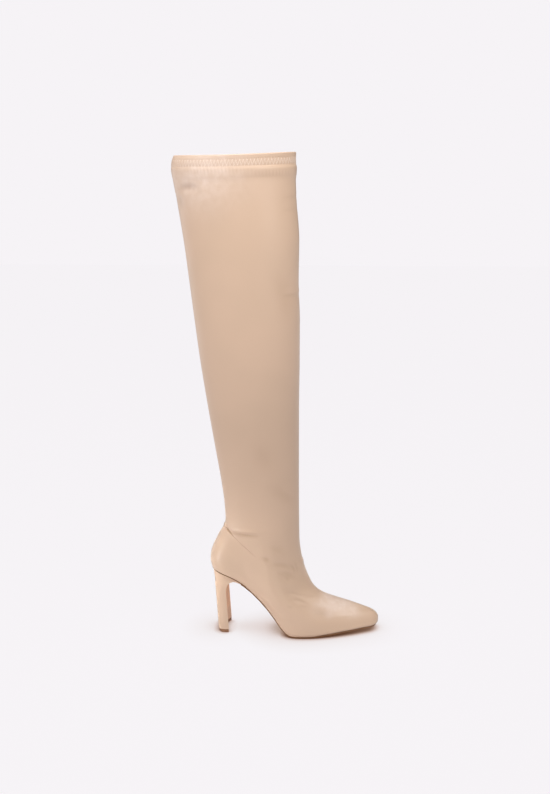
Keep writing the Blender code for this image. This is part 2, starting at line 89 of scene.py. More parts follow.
def copy_of(node_name, piece_name):
    """A copy of a CAD node with its doubles merged, ready to be worked on."""
    node = nodes[node_name]
    piece = bpy.data.objects.new(piece_name, node.data.copy())
    bpy.context.scene.collection.objects.link(piece)
    piece.data.materials.clear()
    only(piece)
    bpy.ops.mesh.customdata_custom_splitnormals_clear()
    bpy.ops.object.mode_set(mode="EDIT")
    bpy.ops.mesh.select_all(action="SELECT")
    bpy.ops.mesh.remove_doubles(threshold=0.00001)
    bpy.ops.object.mode_set(mode="OBJECT")
    return piece


def apply_modifier(piece, kind, **settings):
    """Add a modifier with its settings and apply it."""
    only(piece)
    modifier = piece.modifiers.new(kind.lower(), kind)
    for name, value in settings.items():
        setattr(modifier, name, value)
    bpy.ops.object.modifier_apply(modifier=modifier.name)


# %% [markdown]
# ## Colours and nodes
# Colours are written as the hex codes that a screen shows. Blender reckons in linear light, so
# one function turns them. A second one adds a shader node together with its settings and links.

# %% Colour and node helpers
def linear(code):
    """Linear RGBA from an sRGB hex code."""
    channels = [int(code[i:i + 2], 16) / 255 for i in (0, 2, 4)]
    values = [c / 12.92 if c <= 0.04045 else ((c + 0.055) / 1.055) ** 2.4 for c in channels]
    return (*values, 1.0)


def add_node(material, kind, values=None, links=None, stops=(), **settings):
    """Add a node: settings, socket values, links as (node, output), and ramp stops."""
    item = material.node_tree.nodes.new(kind)
    for name, value in settings.items():
        setattr(item, name, value)
    for number, (position, code) in enumerate(stops):
        elements = item.color_ramp.elements
        element = elements[number] if number < len(elements) else elements.new(position)
        element.position = position
        element.color = linear(code)
    for socket, value in (values or {}).items():
        item.inputs[socket].default_value = value
    for socket, (other, output) in (links or {}).items():
        material.node_tree.links.new(other.outputs[output], item.inputs[socket])
    return item


def new_material(name, **values):
    """A material whose Principled shader has these constant values on its own sockets."""
    material = bpy.data.materials.new(name)
    material.use_nodes = True
    shader = material.node_tree.nodes["Principled BSDF"]
    for socket, value in values.items():
        shader.inputs[socket.replace("_", " ")].default_value = value
    return material, shader


def per_metre(millimetres):
    """Texture scale for a pattern of this size in millimetres, in a scene of metres."""
    return 1000 / millimetres


# %% [markdown]
# ## The last, in numbers
# A bootmaker starts from a last, the solid form of the foot and leg. Here it is a stack of rings
# that run round the leg and foot: level on the shaft, tilted with the foot below the ankle, down
# to the feather line, where the upper meets the sole. These are the tables that the CAD model was
# lofted from, in the same sizes, because its facets are too coarse to fold. A ring's numbers are
# shares of the named sizes.

# %% Sizes of the last
BOOT_HEIGHT = 0.646
SHOE_LENGTH = 0.2324
HEEL_BACK_X = -0.0150
HEEL_RISE = 0.0860
TOE_SPRING = 0.0065
TOE_SWING = 0.0080
TOE_SWING_POWER = 1.4
BALL_WIDTH = 0.0760
BALL_SHARE = 0.5
ANKLE_RISE = 0.0730
ANKLE_DEPTH = 0.1011
ANKLE_WIDTH = 0.0600
ANKLE_INSET = 0.0207
COLLAR_WIDTH = 0.0920
COLLAR_SLOPE = 0.0030
COLLAR_DIP = 0.0020
COLLAR_BLEND_POWER = 6
SHAFT_LEAN = 0.0655
RIDGE_HEIGHT = 0.1536
EASY_FALL_POWER = 1.35
FEATHER_TUCK = 0.0014
BALL_Z = 0.0025
ANKLE_Z = BALL_Z + HEEL_RISE + ANKLE_RISE
SHAFT_HEIGHT = BOOT_HEIGHT - ANKLE_Z
ANKLE_BACK_X = HEEL_BACK_X + ANKLE_INSET
ANKLE_FRONT_X = ANKLE_BACK_X + ANKLE_DEPTH
TOE_X = HEEL_BACK_X + SHOE_LENGTH
print("last:", SHOE_LENGTH, "m long, shaft", round(SHAFT_HEIGHT, 3), "m high above the ankle")

# %% Sole line, from heel to toe
SoleLine = namedtuple("SoleLine", "station rise spring")
SOLE_LINE = [
    SoleLine(0.000, 1.000, 0.00),
    SoleLine(0.050, 0.971, 0.00),
    SoleLine(0.106, 0.924, 0.00),
    SoleLine(0.163, 0.850, 0.00),
    SoleLine(0.193, 0.798, 0.00),
    SoleLine(0.245, 0.683, 0.00),
    SoleLine(0.283, 0.579, 0.00),
    SoleLine(0.321, 0.471, 0.00),
    SoleLine(0.360, 0.344, 0.00),
    SoleLine(0.398, 0.213, 0.00),
    SoleLine(0.428, 0.108, 0.00),
    SoleLine(0.455, 0.037, 0.00),
    SoleLine(0.485, 0.000, 0.00),
    SoleLine(0.585, 0.000, 0.00),
    SoleLine(0.700, 0.000, 0.42),
    SoleLine(0.800, 0.000, 0.74),
    SoleLine(0.900, 0.000, 0.93),
    SoleLine(1.000, 0.000, 1.00),
]
print("sole line:", len(SOLE_LINE), "stations")

# %% Fullness of the outline at the sole and at the body of the foot
Fullness = namedtuple("Fullness", "station sole_outer sole_inner body_outer body_inner")
FULLNESS = [
    Fullness(0.000, 0.680, 0.680, 0.680, 0.680),
    Fullness(0.050, 0.615, 0.615, 0.630, 0.630),
    Fullness(0.110, 0.510, 0.510, 0.540, 0.540),
    Fullness(0.190, 0.420, 0.415, 0.450, 0.450),
    Fullness(0.280, 0.370, 0.350, 0.400, 0.385),
    Fullness(0.360, 0.397, 0.360, 0.410, 0.385),
    Fullness(0.430, 0.474, 0.418, 0.450, 0.415),
    Fullness(0.520, 0.530, 0.468, 0.510, 0.455),
    Fullness(0.600, 0.537, 0.470, 0.510, 0.455),
    Fullness(0.700, 0.530, 0.466, 0.455, 0.410),
    Fullness(0.800, 0.515, 0.450, 0.415, 0.380),
    Fullness(0.900, 0.515, 0.435, 0.365, 0.345),
    Fullness(0.965, 0.620, 0.540, 0.345, 0.335),
    Fullness(1.000, 0.820, 0.720, 0.340, 0.330),
]
print("fullness:", len(FULLNESS), "stations")

# %% Rings of the shaft, from the collar down
ShaftRing = namedtuple("ShaftRing", "height back front width")
SHAFT_RINGS = [
    ShaftRing(1.000, 0.945, 0.100, 0.99),
    ShaftRing(0.985, 0.988, 0.104, 1.00),
    ShaftRing(0.970, 1.000, 0.102, 1.00),
    ShaftRing(0.944, 0.985, 0.100, 1.00),
    ShaftRing(0.878, 0.902, 0.080, 0.97),
    ShaftRing(0.773, 0.783, 0.024, 0.93),
    ShaftRing(0.665, 0.685, 0.032, 0.88),
    ShaftRing(0.556, 0.588, 0.004, 0.83),
    ShaftRing(0.445, 0.484, 0.005, 0.79),
    ShaftRing(0.333, 0.359, 0.012, 0.66),
    ShaftRing(0.218, 0.220, 0.011, 0.40),
    ShaftRing(0.103, 0.079, 0.008, 0.12),
    ShaftRing(0.044, 0.022, 0.004, 0.03),
    ShaftRing(0.000, 0.000, 0.000, 0.00),
]
print("shaft rings:", len(SHAFT_RINGS))

# %% Rings of the foot, from the ankle to the feather line
FootRing = namedtuple("FootRing", "back_x back_z ridge_x ridge_z spread close follow")
FOOT_RINGS = [
    FootRing(0.0885, 0.950, 0.004, 0.850, 0.05, 0.00, 0.00),
    FootRing(0.0875, 0.915, 0.030, 0.690, 0.13, 0.00, 0.00),
    FootRing(0.0850, 0.880, 0.088, 0.540, 0.20, 0.00, 0.00),
    FootRing(0.0822, 0.849, 0.148, 0.440, 0.27, 0.00, 0.00),
    FootRing(0.0735, 0.782, 0.200, 0.380, 0.37, 0.00, 0.04),
    FootRing(0.0510, 0.663, 0.262, 0.340, 0.48, 0.00, 0.12),
    FootRing(0.0330, 0.545, 0.352, 0.300, 0.62, 0.00, 0.26),
    FootRing(0.0150, 0.425, 0.500, 0.262, 0.77, 0.00, 0.44),
    FootRing(0.0035, 0.305, 0.665, 0.226, 0.90, 0.00, 0.62),
    FootRing(0.0000, 0.195, 0.815, 0.186, 0.98, 0.02, 0.77),
    FootRing(0.0008, 0.130, 0.925, 0.152, 1.00, 0.18, 0.86),
    FootRing(0.0032, 0.090, 0.976, 0.122, 1.00, 0.38, 0.91),
    FootRing(0.0058, 0.056, 1.000, 0.088, 1.00, 0.62, 0.95),
    FootRing(0.0090, 0.028, 1.000, 0.062, 1.00, 0.84, 0.98),
    FootRing(0.0120, 0.000, 0.992, 0.042, 1.00, 1.00, 1.00),
]
SEAM_RING = 3
print("foot rings:", len(FOOT_RINGS))

# %% [markdown]
# ## Points on the last
# A place on the last is a ring's number, with fractions between two rings, and an angle round
# it, 0 at the toe. Curves that never swing past the rows of a table join the rings.

# %% Curves through the tables
def curve(places, values, at):
    """Smooth curve through the rows of a table that never swings past them."""
    places, values = np.asarray(places, float), np.asarray(values, float)
    steps = np.diff(places)
    slopes = np.diff(values) / steps
    before, after = slopes[:-1], slopes[1:]
    weight_a, weight_b = 2 * steps[1:] + steps[:-1], steps[1:] + 2 * steps[:-1]
    same_way = before * after > 0
    mean = (weight_a + weight_b) / (weight_a / np.where(same_way, before, 1.0)
                                    + weight_b / np.where(same_way, after, 1.0))
    tangents = np.concatenate([slopes[:1], np.where(same_way, mean, 0.0), slopes[-1:]])
    at = np.clip(np.asarray(at, float), places[0], places[-1])
    row = np.clip(np.searchsorted(places, at, side="right") - 1, 0, len(steps) - 1)
    step = steps[row]
    t = (at - places[row]) / step
    return ((2 * t**3 - 3 * t**2 + 1) * values[row] + (t**3 - 2 * t**2 + t) * step * tangents[row]
            + (3 * t**2 - 2 * t**3) * values[row + 1] + (t**3 - t**2) * step * tangents[row + 1])


def column(table, name):
    """One named column of a table."""
    return np.array([getattr(row, name) for row in table])


def sole_z(x):
    """Height of the feather line at a place along the shoe."""
    heights = (BALL_Z + column(SOLE_LINE, "rise") * HEEL_RISE
               + column(SOLE_LINE, "spring") * TOE_SPRING)
    return curve(column(SOLE_LINE, "station"), heights, (x - HEEL_BACK_X) / SHOE_LENGTH)


# %% Every ring in real sizes
def ring_table():
    """Rings from collar to feather line: back x, z, front x, z, half width, dip and shape."""
    table = []
    for ring in SHAFT_RINGS:
        height = ANKLE_Z + ring.height * SHAFT_HEIGHT
        near_collar = ring.height ** COLLAR_BLEND_POWER
        half = (ANKLE_WIDTH + ring.width * (COLLAR_WIDTH - ANKLE_WIDTH)) / 2
        table.append((ANKLE_BACK_X - ring.back * SHAFT_LEAN, height - COLLAR_SLOPE * near_collar,
                      ANKLE_FRONT_X - ring.front * SHAFT_LEAN, height + COLLAR_SLOPE * near_collar,
                      half, COLLAR_DIP * near_collar, 0.0, 0.0, 0.0))
    for ring in FOOT_RINGS:
        table.append((HEEL_BACK_X + ring.back_x * SHOE_LENGTH,
                      BALL_Z + HEEL_RISE + ring.back_z * ANKLE_RISE,
                      ANKLE_FRONT_X + ring.ridge_x * (TOE_X - ANKLE_FRONT_X),
                      BALL_Z + ring.ridge_z * RIDGE_HEIGHT,
                      ANKLE_WIDTH / 2, 0.0, ring.spread, ring.close, ring.follow))
    return np.array(table)


RINGS = ring_table()
ANKLE_RING = len(SHAFT_RINGS) - 1
FEATHER_RING = len(RINGS) - 1
SEAM_PLACE = ANKLE_RING + 1 + SEAM_RING
print("rings:", len(RINGS), "- the counter seam runs along ring", SEAM_PLACE)


# %% A point of the last
def last_points(place, angles):
    """Points of the outer face for arrays of places and angles."""
    place, angles = np.broadcast_arrays(np.asarray(place, float), angles)
    numbers = np.arange(len(RINGS))
    back_x, back_z, front_x, front_z, half, dip, spread, close, follow = (
        curve(numbers, RINGS[:, k], place) for k in range(RINGS.shape[1]))
    along = (1 + np.cos(angles)) / 2
    x = back_x + (front_x - back_x) * along
    heel_z, toe_z = float(sole_z(HEEL_BACK_X)), float(sole_z(TOE_X))
    sole_fall = (heel_z - sole_z(HEEL_BACK_X + along * SHOE_LENGTH)) / (heel_z - toe_z)
    easy_fall = 1 - (1 - along) ** EASY_FALL_POWER
    fall = easy_fall + follow * (sole_fall - easy_fall)
    z = back_z + (front_z - back_z) * fall - dip * np.sin(angles) ** 2
    inner = np.sin(angles) >= 0
    stations = column(FULLNESS, "station")
    body, sole = (np.where(inner, curve(stations, column(FULLNESS, part + "_inner"), along),
                           curve(stations, column(FULLNESS, part + "_outer"), along)) * BALL_WIDTH
                  for part in ("body", "sole"))
    width = half + spread * (body + close * (sole - body) - half)
    ball_x = HEEL_BACK_X + BALL_SHARE * SHOE_LENGTH
    ahead = np.clip((x - ball_x) / (TOE_X - ball_x), 0, 1)
    y = width * np.sin(angles) + TOE_SWING * ahead ** TOE_SWING_POWER
    return np.stack([x, y, z], axis=-1)


def net_normals(net):
    """Outward directions of a net of points that closes round its columns."""
    around = np.roll(net, -1, axis=1) - np.roll(net, 1, axis=1)
    normals = np.cross(np.gradient(net, axis=0), around)
    return normals / np.linalg.norm(normals, axis=2, keepdims=True)


# %% [markdown]
# ## The net of the skin
# A net is laid over the last, row by row from the collar to the feather line. Rows lie close
# together where there is something small to shape: the folds under the hem, and the counter
# seam, a narrow ridge with the foot part's slightly thicker material below it. The hem itself is
# a sheet of its own that is laid over the top of this one later. A pitch is the distance between
# rows, and rows stay close down to the fine depth below the collar.

# %% Sizes of the net
HEM_HEIGHT = 0.0130
FINE_DEPTH = 0.0550
SKIN_TOP = 0.0012
FOOT_STEP = 0.0004
SEAM_BAND = 0.0034
SEAM_STEP = 0.0008
COLUMNS = 168
COLUMN_WARP = 0.12
RING_STEP = 0.08
HEM_PITCH = 0.0014
SHAFT_PITCH = 0.0042
FOOT_PITCH = 0.0018

turns = np.arange(COLUMNS) * 2 * math.pi / COLUMNS
angles = turns + COLUMN_WARP * np.sin(2 * turns)


def level(place):
    """The same place for every column."""
    return np.full(COLUMNS, float(place))


def hem_place(distance):
    """Place at a distance below the collar, on the shaft."""
    heights = column(SHAFT_RINGS, "height")
    return np.interp(np.asarray(distance) / SHAFT_HEIGHT - 1, -heights, np.arange(len(heights)))


def seam_places(distance):
    """Places at a distance below the counter seam, measured square to it."""
    below, above = (last_points(level(SEAM_PLACE + step), angles)
                    for step in (RING_STEP, -RING_STEP))
    return SEAM_PLACE + distance * 2 * RING_STEP / np.linalg.norm(below - above, axis=1)


print("columns round the boot:", COLUMNS)

# %% The counter seam
# How far the seam shows on its way from the back of the heel to the instep, by x in metres
SeamShow = namedtuple("SeamShow", "x share")
SEAM_SHOW = [
    SeamShow(-0.004, 0.35),
    SeamShow(0.005, 1.00),
    SeamShow(0.014, 1.00),
    SeamShow(0.019, 0.45),
    SeamShow(0.025, 0.45),
    SeamShow(0.030, 0.75),
    SeamShow(0.046, 0.60),
    SeamShow(0.056, 0.15),
    SeamShow(0.110, 0.10),
]

# Section of the seam: across is a share of half its band, height a share of its step
SeamRow = namedtuple("SeamRow", "across height")
SEAM_PROFILE = [
    SeamRow(-1.00, 0.0),
    SeamRow(-0.80, -0.6),
    SeamRow(-0.55, 0.5),
    SeamRow(-0.30, 1.0),
    SeamRow(0.30, 1.0),
    SeamRow(0.65, 0.7),
]
print("seam:", len(SEAM_SHOW), "places along it,", len(SEAM_PROFILE), "rows across it")

# %% Stations down the boot
seam_x = last_points(level(SEAM_PLACE), angles)[:, 0]
seam_show = curve(column(SEAM_SHOW, "x"), column(SEAM_SHOW, "share"), seam_x)
foot_proud = FOOT_STEP * seam_show

# Each station is the places of a row, how far it stands proud, and the pitch of the rows after it
stations = [(level(hem_place(SKIN_TOP)), 0.0, HEM_PITCH)]
stations.append((level(hem_place(HEM_HEIGHT)), 0.0, HEM_PITCH))
stations.append((level(hem_place(FINE_DEPTH)), 0.0, SHAFT_PITCH))
for ring in range(int(hem_place(FINE_DEPTH)) + 1, ANKLE_RING - 1):
    stations.append((level(ring), 0.0, SHAFT_PITCH))
for ring in range(ANKLE_RING - 1, SEAM_PLACE):
    stations.append((level(ring), 0.0, FOOT_PITCH))
for row in SEAM_PROFILE:
    stations.append((seam_places(row.across * SEAM_BAND / 2), row.height * SEAM_STEP * seam_show,
                     FOOT_PITCH))
stations.append((seam_places(SEAM_BAND / 2), foot_proud, FOOT_PITCH))
for ring in range(SEAM_PLACE + 1, FEATHER_RING + 1):
    stations.append((level(ring), foot_proud, FOOT_PITCH))
print("stations:", len(stations))

# %% Rows between the stations
places, proud = [], []
for (place, raised, pitch), (next_place, next_raised, _) in zip(stations, stations[1:]):
    length = np.linalg.norm(last_points(next_place, angles) - last_points(place, angles), axis=1)
    parts = max(1, round(float(length.max()) / pitch))
    for part in range(parts):
        places.append(place + part / parts * (next_place - place))
        proud.append(raised + part / parts * (next_raised - raised))
places.append(stations[-1][0])
proud.append(foot_proud)
proud = np.array([raised + np.zeros(COLUMNS) for raised in proud])
smooth_net = last_points(np.array(places), angles)
skin_net = smooth_net + proud[:, :, None] * net_normals(smooth_net)

# The last row is tucked in under the foot and lies on the sole line
feather = smooth_net[-1].copy()
tangent = np.roll(feather, -1, axis=0)[:, :2] - np.roll(feather, 1, axis=0)[:, :2]
tangent /= np.linalg.norm(tangent, axis=1, keepdims=True)
feather[:, 0] -= FEATHER_TUCK * tangent[:, 1]
feather[:, 1] += FEATHER_TUCK * tangent[:, 0]
feather[:, 2] = sole_z(feather[:, 0])
skin_net[-1] = feather
collar_z = float(skin_net[0, :, 2].mean())
print("net:", skin_net.shape[0], "rows by", skin_net.shape[1], "columns")

# %% [markdown]
# ## Folds
# A boot that stands empty keeps the folds that the leg and the last have put in it. Each fold is
# a row of the table: the side it is on, where it starts and ends in the side view, how far its
# middle bows, how wide it is and how far it goes in (minus) or stands out (plus). All sizes are
# millimetres on the boot, and start and end are x and z. The outer side follows the photograph.
# The inner side, which the photograph doesn't show, has folds of the same kind in slightly other
# places.

# %% Fold table
OUTER, INNER, BOTH = -1, 1, 0
Fold = namedtuple("Fold", "side start end bow width depth")
FOLDS = [
    Fold(OUTER, (-46, 602.5), (-26, 604), 1, 4.6, -2.2),
    Fold(OUTER, (-51, 594), (-45, 580), 1, 4.0, -1.1),
    Fold(OUTER, (-17, 606), (-16, 598), 0, 1.8, 0.6),
    Fold(OUTER, (-30, 560), (10, 596), 6, 16.0, 0.8),
    Fold(OUTER, (34, 618), (92, 620), 0, 4.0, -0.5),
    Fold(BOTH, (84, 590), (104, 592), 1, 3.0, -0.5),
    Fold(BOTH, (86, 576), (104, 577), 1, 3.0, -0.4),
    Fold(BOTH, (86, 473.5), (106, 471), 1, 2.2, 0.7),
    Fold(BOTH, (88, 467), (106, 465), 1, 2.6, -0.7),
    Fold(OUTER, (78, 492), (90, 440), 3, 9.0, -0.5),
    Fold(OUTER, (6, 430), (14, 372), -4, 12.0, 0.7),
    Fold(OUTER, (50, 268), (64, 236), 3, 11.0, -0.5),
    Fold(OUTER, (70, 210), (98, 186), 3, 9.0, -0.6),
    Fold(OUTER, (84, 208), (104, 196), 2, 5.0, 0.5),
    Fold(OUTER, (5, 148), (16, 141), 1, 1.5, -1.8),
    Fold(OUTER, (14, 145.5), (58, 147), 1, 2.4, 1.2),
    Fold(OUTER, (17, 143), (50, 142.5), 0, 2.4, -1.4),
    Fold(OUTER, (59, 112), (67, 108), 0, 3.4, -1.2),
    Fold(OUTER, (70, 125), (84, 118), 2, 6.0, -0.6),
    Fold(OUTER, (62, 120), (80, 110), 3, 5.0, 0.5),
    Fold(OUTER, (72, 103), (96, 95), 2, 3.6, -0.8),
    Fold(OUTER, (78, 96), (98, 87), 2, 3.4, 0.6),
    Fold(OUTER, (84, 92), (99, 82), 2, 4.0, -1.0),
    Fold(OUTER, (90, 84), (92, 76), 1, 2.6, -0.7),
    Fold(OUTER, (96, 100), (101, 88), 1, 1.6, -0.8),
    Fold(OUTER, (101, 103), (105, 88), 1, 1.8, -0.7),
    Fold(OUTER, (105, 106), (110, 86), 1, 3.0, 0.7),
    Fold(OUTER, (84, 76), (104, 70), 2, 4.5, 0.8),
    Fold(OUTER, (93, 63.5), (103, 60), 1, 1.6, -0.55),
    Fold(OUTER, (103, 60.5), (114, 57), -1, 1.6, -0.4),
    Fold(OUTER, (96, 54), (120, 45), 2, 1.9, -0.5),
    Fold(OUTER, (94, 58.5), (116, 51), 2, 2.4, 0.4),
    Fold(OUTER, (92, 46), (99, 44.5), 0, 1.7, -0.5),
    Fold(OUTER, (108, 44), (118, 42), 1, 1.8, -0.45),
    Fold(OUTER, (88, 68), (98, 64), 1, 2.0, 0.4),
    Fold(OUTER, (116, 58), (134, 49), 2, 3.4, 0.7),
    Fold(OUTER, (128, 34), (150, 26), 2, 5.0, -0.5),
    Fold(BOTH, (124, 69), (135, 55), 1, 1.5, -1.2),
    Fold(BOTH, (109, 103), (113, 97), 0, 1.6, 0.9),
    Fold(INNER, (-48, 596), (-22, 604), 2, 6.0, -1.6),
    Fold(INNER, (-30, 570), (6, 590), 5, 15.0, 0.8),
    Fold(INNER, (40, 618), (88, 620), 0, 4.0, -0.5),
    Fold(INNER, (60, 440), (78, 400), 3, 10.0, -0.7),
    Fold(INNER, (8, 150), (20, 143), 1, 1.8, -1.5),
    Fold(INNER, (20, 150), (62, 153), 2, 3.2, 1.2),
    Fold(INNER, (20, 144), (54, 141), -1, 3.4, -1.4),
    Fold(INNER, (54, 116), (66, 110), 1, 3.8, -1.1),
    Fold(INNER, (72, 102), (98, 90), 3, 3.8, -0.9),
    Fold(INNER, (78, 94), (100, 82), 3, 3.6, 0.6),
    Fold(INNER, (82, 86), (98, 74), 2, 4.0, -0.9),
    Fold(INNER, (96, 60), (116, 50), 2, 2.0, -0.9),
    Fold(INNER, (100, 56), (120, 46), 1, 2.2, 0.6),
    Fold(INNER, (110, 45), (126, 39), 1, 1.8, -0.8),
]
print("folds:", len(FOLDS))

# %% Laying the folds
FOLD_PARTS = 12
FOLD_END = 0.1
FOLD_TAPER = 0.8
SIDE_BLEND = 2.5


def fold_reach(points, start, end, bow):
    """Distance of each point from a bowed line in the side view, and how far along it lies."""
    start, end = np.array(start, float), np.array(end, float)
    along = end - start
    across = np.array([-along[1], along[0]]) / np.linalg.norm(along)
    share = np.linspace(0, 1, FOLD_PARTS + 1)[:, None]
    line = start + share * along + 4 * bow * share * (1 - share) * across
    nearest = np.full(len(points), np.inf)
    place = np.zeros(len(points))
    for a, b, first in zip(line[:-1], line[1:], share[:-1, 0]):
        run = b - a
        t = np.clip((points - a) @ run / (run @ run), 0, 1)
        away = np.linalg.norm(points - a - t[:, None] * run, axis=1)
        closer = away < nearest
        nearest = np.where(closer, away, nearest)
        place = np.where(closer, first + t / FOLD_PARTS, place)
    return nearest, place


def side_share(side, facing):
    """How much of a fold or spot a point gets, by the way it faces across the boot."""
    return np.clip(0.5 + SIDE_BLEND * side * facing, 0, 1) if side else 1.0


def fold_move(points, normals):
    """How far each point of the last moves out along its normal for all folds together."""
    side_view = 1000 * points.reshape(-1, 3)[:, [0, 2]]
    facing = normals.reshape(-1, 3)[:, 1]
    move = np.zeros(len(side_view))
    for fold in FOLDS:
        away, place = fold_reach(side_view, fold.start, fold.end, fold.bow)
        taper = np.sin(math.pi * (FOLD_END + (1 - 2 * FOLD_END) * place)) ** FOLD_TAPER
        shape = np.exp(-(away / fold.width) ** 2) * taper
        move += fold.depth / 1000 * shape * side_share(fold.side, facing)
    return move.reshape(points.shape[:-1])


skin_normals = net_normals(skin_net)
folded = fold_move(skin_net, skin_normals)
skin_net = skin_net + folded[:, :, None] * skin_normals
print("deepest fold in mm:", round(-1000 * float(folded.min()), 2))

# %% [markdown]
# ## The skin
# A grid is added and wrapped round the leg like a sheet of material: each of its corners is put
# on a point of the net, and its two side edges are merged into one. Its UV map is kept in real
# terms, once round the boot one way and metres down from the collar the other. Solidify then
# gives it about the wall of the CAD model, thicker at the hem where the material is folded
# double.

# %% Wrap the grid
HEM_WALL = 0.0022
SHAFT_WALL = 0.0015
FOOT_WALL = 0.0022
FOOT_WALL_TOP_Z = 0.140
SKIN_EDGE = 0.0006
SKIN_EDGE_ANGLE = 65
WELD = 0.000001


def wrapped_grid(name, net):
    """A grid laid on a net that closes on itself, with its UV map in turns and metres."""
    count_down, count_round = net.shape[:2]
    bpy.ops.object.select_all(action="DESELECT")
    bpy.ops.mesh.primitive_grid_add(x_subdivisions=count_round, y_subdivisions=count_down - 1,
                                    size=1, calc_uvs=True)
    sheet = bpy.context.object
    sheet.name = name
    sheet.data.name = name
    closed = np.concatenate([net, net[:, :1]], axis=1)
    sheet.data.vertices.foreach_set("co", closed.reshape(-1).astype(np.float32))
    row_steps = np.linalg.norm(np.diff(net, axis=0), axis=2).mean(axis=1)
    depth_of_row = np.concatenate([[0], row_steps.cumsum()])
    corners = np.zeros(len(sheet.data.loops) * 2, np.float32)
    uv = sheet.data.uv_layers.active
    uv.data.foreach_get("uv", corners)
    corners = corners.reshape(-1, 2)
    rows = np.rint(corners[:, 1] * (count_down - 1)).astype(int)
    corners[:, 1] = depth_of_row[rows]
    uv.data.foreach_set("uv", corners.reshape(-1))
    bpy.ops.object.mode_set(mode="EDIT")
    bpy.ops.mesh.select_all(action="SELECT")
    bpy.ops.mesh.remove_doubles(threshold=WELD)
    bpy.ops.mesh.normals_make_consistent(inside=False)
    bpy.ops.object.mode_set(mode="OBJECT")
    return sheet, depth_of_row


skin, row_depths = wrapped_grid("upper_skin", skin_net)
print("skin:", len(skin.data.polygons), "faces,", round(row_depths[-1], 3), "m from collar to sole")

# %% Give the skin its wall
wall_group = skin.vertex_groups.new(name="wall")
for vert in skin.data.vertices:
    hem = vert.co.z > collar_z - HEM_HEIGHT
    wall = HEM_WALL if hem else FOOT_WALL if vert.co.z < FOOT_WALL_TOP_Z else SHAFT_WALL
    wall_group.add([vert.index], wall / HEM_WALL, "REPLACE")
apply_modifier(skin, "SOLIDIFY", thickness=HEM_WALL, offset=-1, vertex_group="wall",
               material_offset=1, material_offset_rim=0)
apply_modifier(skin, "BEVEL", width=SKIN_EDGE, segments=2, limit_method="ANGLE",
               angle_limit=math.radians(SKIN_EDGE_ANGLE))
only(skin)
bpy.ops.object.shade_smooth()


def read_points(piece, kind="co"):
    """Coordinates or normals of every vertex of a piece."""
    values = np.zeros(3 * len(piece.data.vertices), np.float32)
    piece.data.vertices.foreach_get(kind, values)
    return values.reshape(-1, 3).astype(float)


skin_triangles = sum(len(face.vertices) - 2 for face in skin.data.polygons)
print("skin with its wall:", skin_triangles, "triangles")

# %% [markdown]
# ## Painted crease shade and painted sheen in numbers
# The shader paints shade into the creases, and a pale sheen, which is a painted highlight, over
# the toes and below the hem. Both are written on the vertices: the shade from the fold table, the
# sheen from a table of soft round spots, in the same millimetres.

# %% Painted crease shade and painted sheen
FULL_SHADE_FOLD_DEPTH = 0.0016
MARKED = 0.1
# Spots of painted highlight, a pale sheen near the top of the shaft and over the toes: side, centre
# and radius in mm, and strength
PaintedSheenSpot = namedtuple("PaintedSheenSpot", "side spot radius strength")
PAINTED_SHEEN_SPOTS = [
    PaintedSheenSpot(BOTH, (-28, 612), 34.0, 0.6),
    PaintedSheenSpot(BOTH, (8, 630), 40.0, 0.5),
    PaintedSheenSpot(OUTER, (141, 47), 7.0, 0.7),
    PaintedSheenSpot(OUTER, (154, 43), 9.0, 1.0),
    PaintedSheenSpot(OUTER, (168, 38), 9.0, 1.0),
    PaintedSheenSpot(OUTER, (182, 32), 9.0, 0.7),
    PaintedSheenSpot(OUTER, (149, 31), 6.0, 0.6),
    PaintedSheenSpot(OUTER, (132, 38), 9.0, 0.3),
    PaintedSheenSpot(INNER, (146, 44), 9.0, 0.9),
    PaintedSheenSpot(INNER, (166, 37), 9.0, 0.8),
]


def mark(piece):
    """Write on a piece's vertices how much painted shade their creases get and how much painted
    sheen.
    """
    surface, facing = read_points(piece), read_points(piece, "normal")
    # Painted shade: the deeper a fold goes in, the darker its colour is painted
    crease_shade = np.clip(-fold_move(surface, facing) / FULL_SHADE_FOLD_DEPTH, 0, 1)
    # Painted highlight: the sheen spots make the colour paler
    painted_sheen = np.zeros(len(surface))
    for row in PAINTED_SHEEN_SPOTS:
        away = np.linalg.norm(1000 * surface[:, [0, 2]] - np.array(row.spot, float), axis=1)
        pale = row.strength * np.exp(-(away / row.radius) ** 2)
        painted_sheen += pale * side_share(row.side, facing[:, 1])
    for name, values in (("crease_shade", crease_shade), ("painted_sheen", np.clip(painted_sheen, 0, 1))):
        layer = piece.data.attributes.new(name, "FLOAT", "POINT")
        layer.data.foreach_set("value", values.astype(np.float32))
    print(piece.name, "creased:", int((crease_shade > MARKED).sum()),
          "paler:", int((painted_sheen > MARKED).sum()))


mark(skin)

# %% [markdown]
# ## Stretch faux leather
# The real material is a knitted stretch cloth with a thin coat of polyurethane, pressed with a
# fine grain. It is matt and a little soft to the light, and its colour drifts slightly from place
# to place. The grain is about a millimetre wide, which is close to one pixel here. Painted shade
# darkens the colour in the creases, and a painted highlight, a pale and slightly patchy sheen,
# lightens it over the toes and below the hem.

# %% Faux leather
# Painted shade in the creases: its tone, and below, its strength
CREASE_SHADE_TONE = "B08D70"
# Painted highlight over the toes and below the hem: the tone of its pale sheen
PAINTED_SHEEN_TONE = "F2DFD3"
CREASE_SHADE_STRENGTH = 0.45
DRIFT_MM = 70
PATCH_MM = 9
PORE_MM = 0.5
MIX_FACTOR, MIX_A, MIX_B, MIX_RESULT = 0, 6, 7, 2


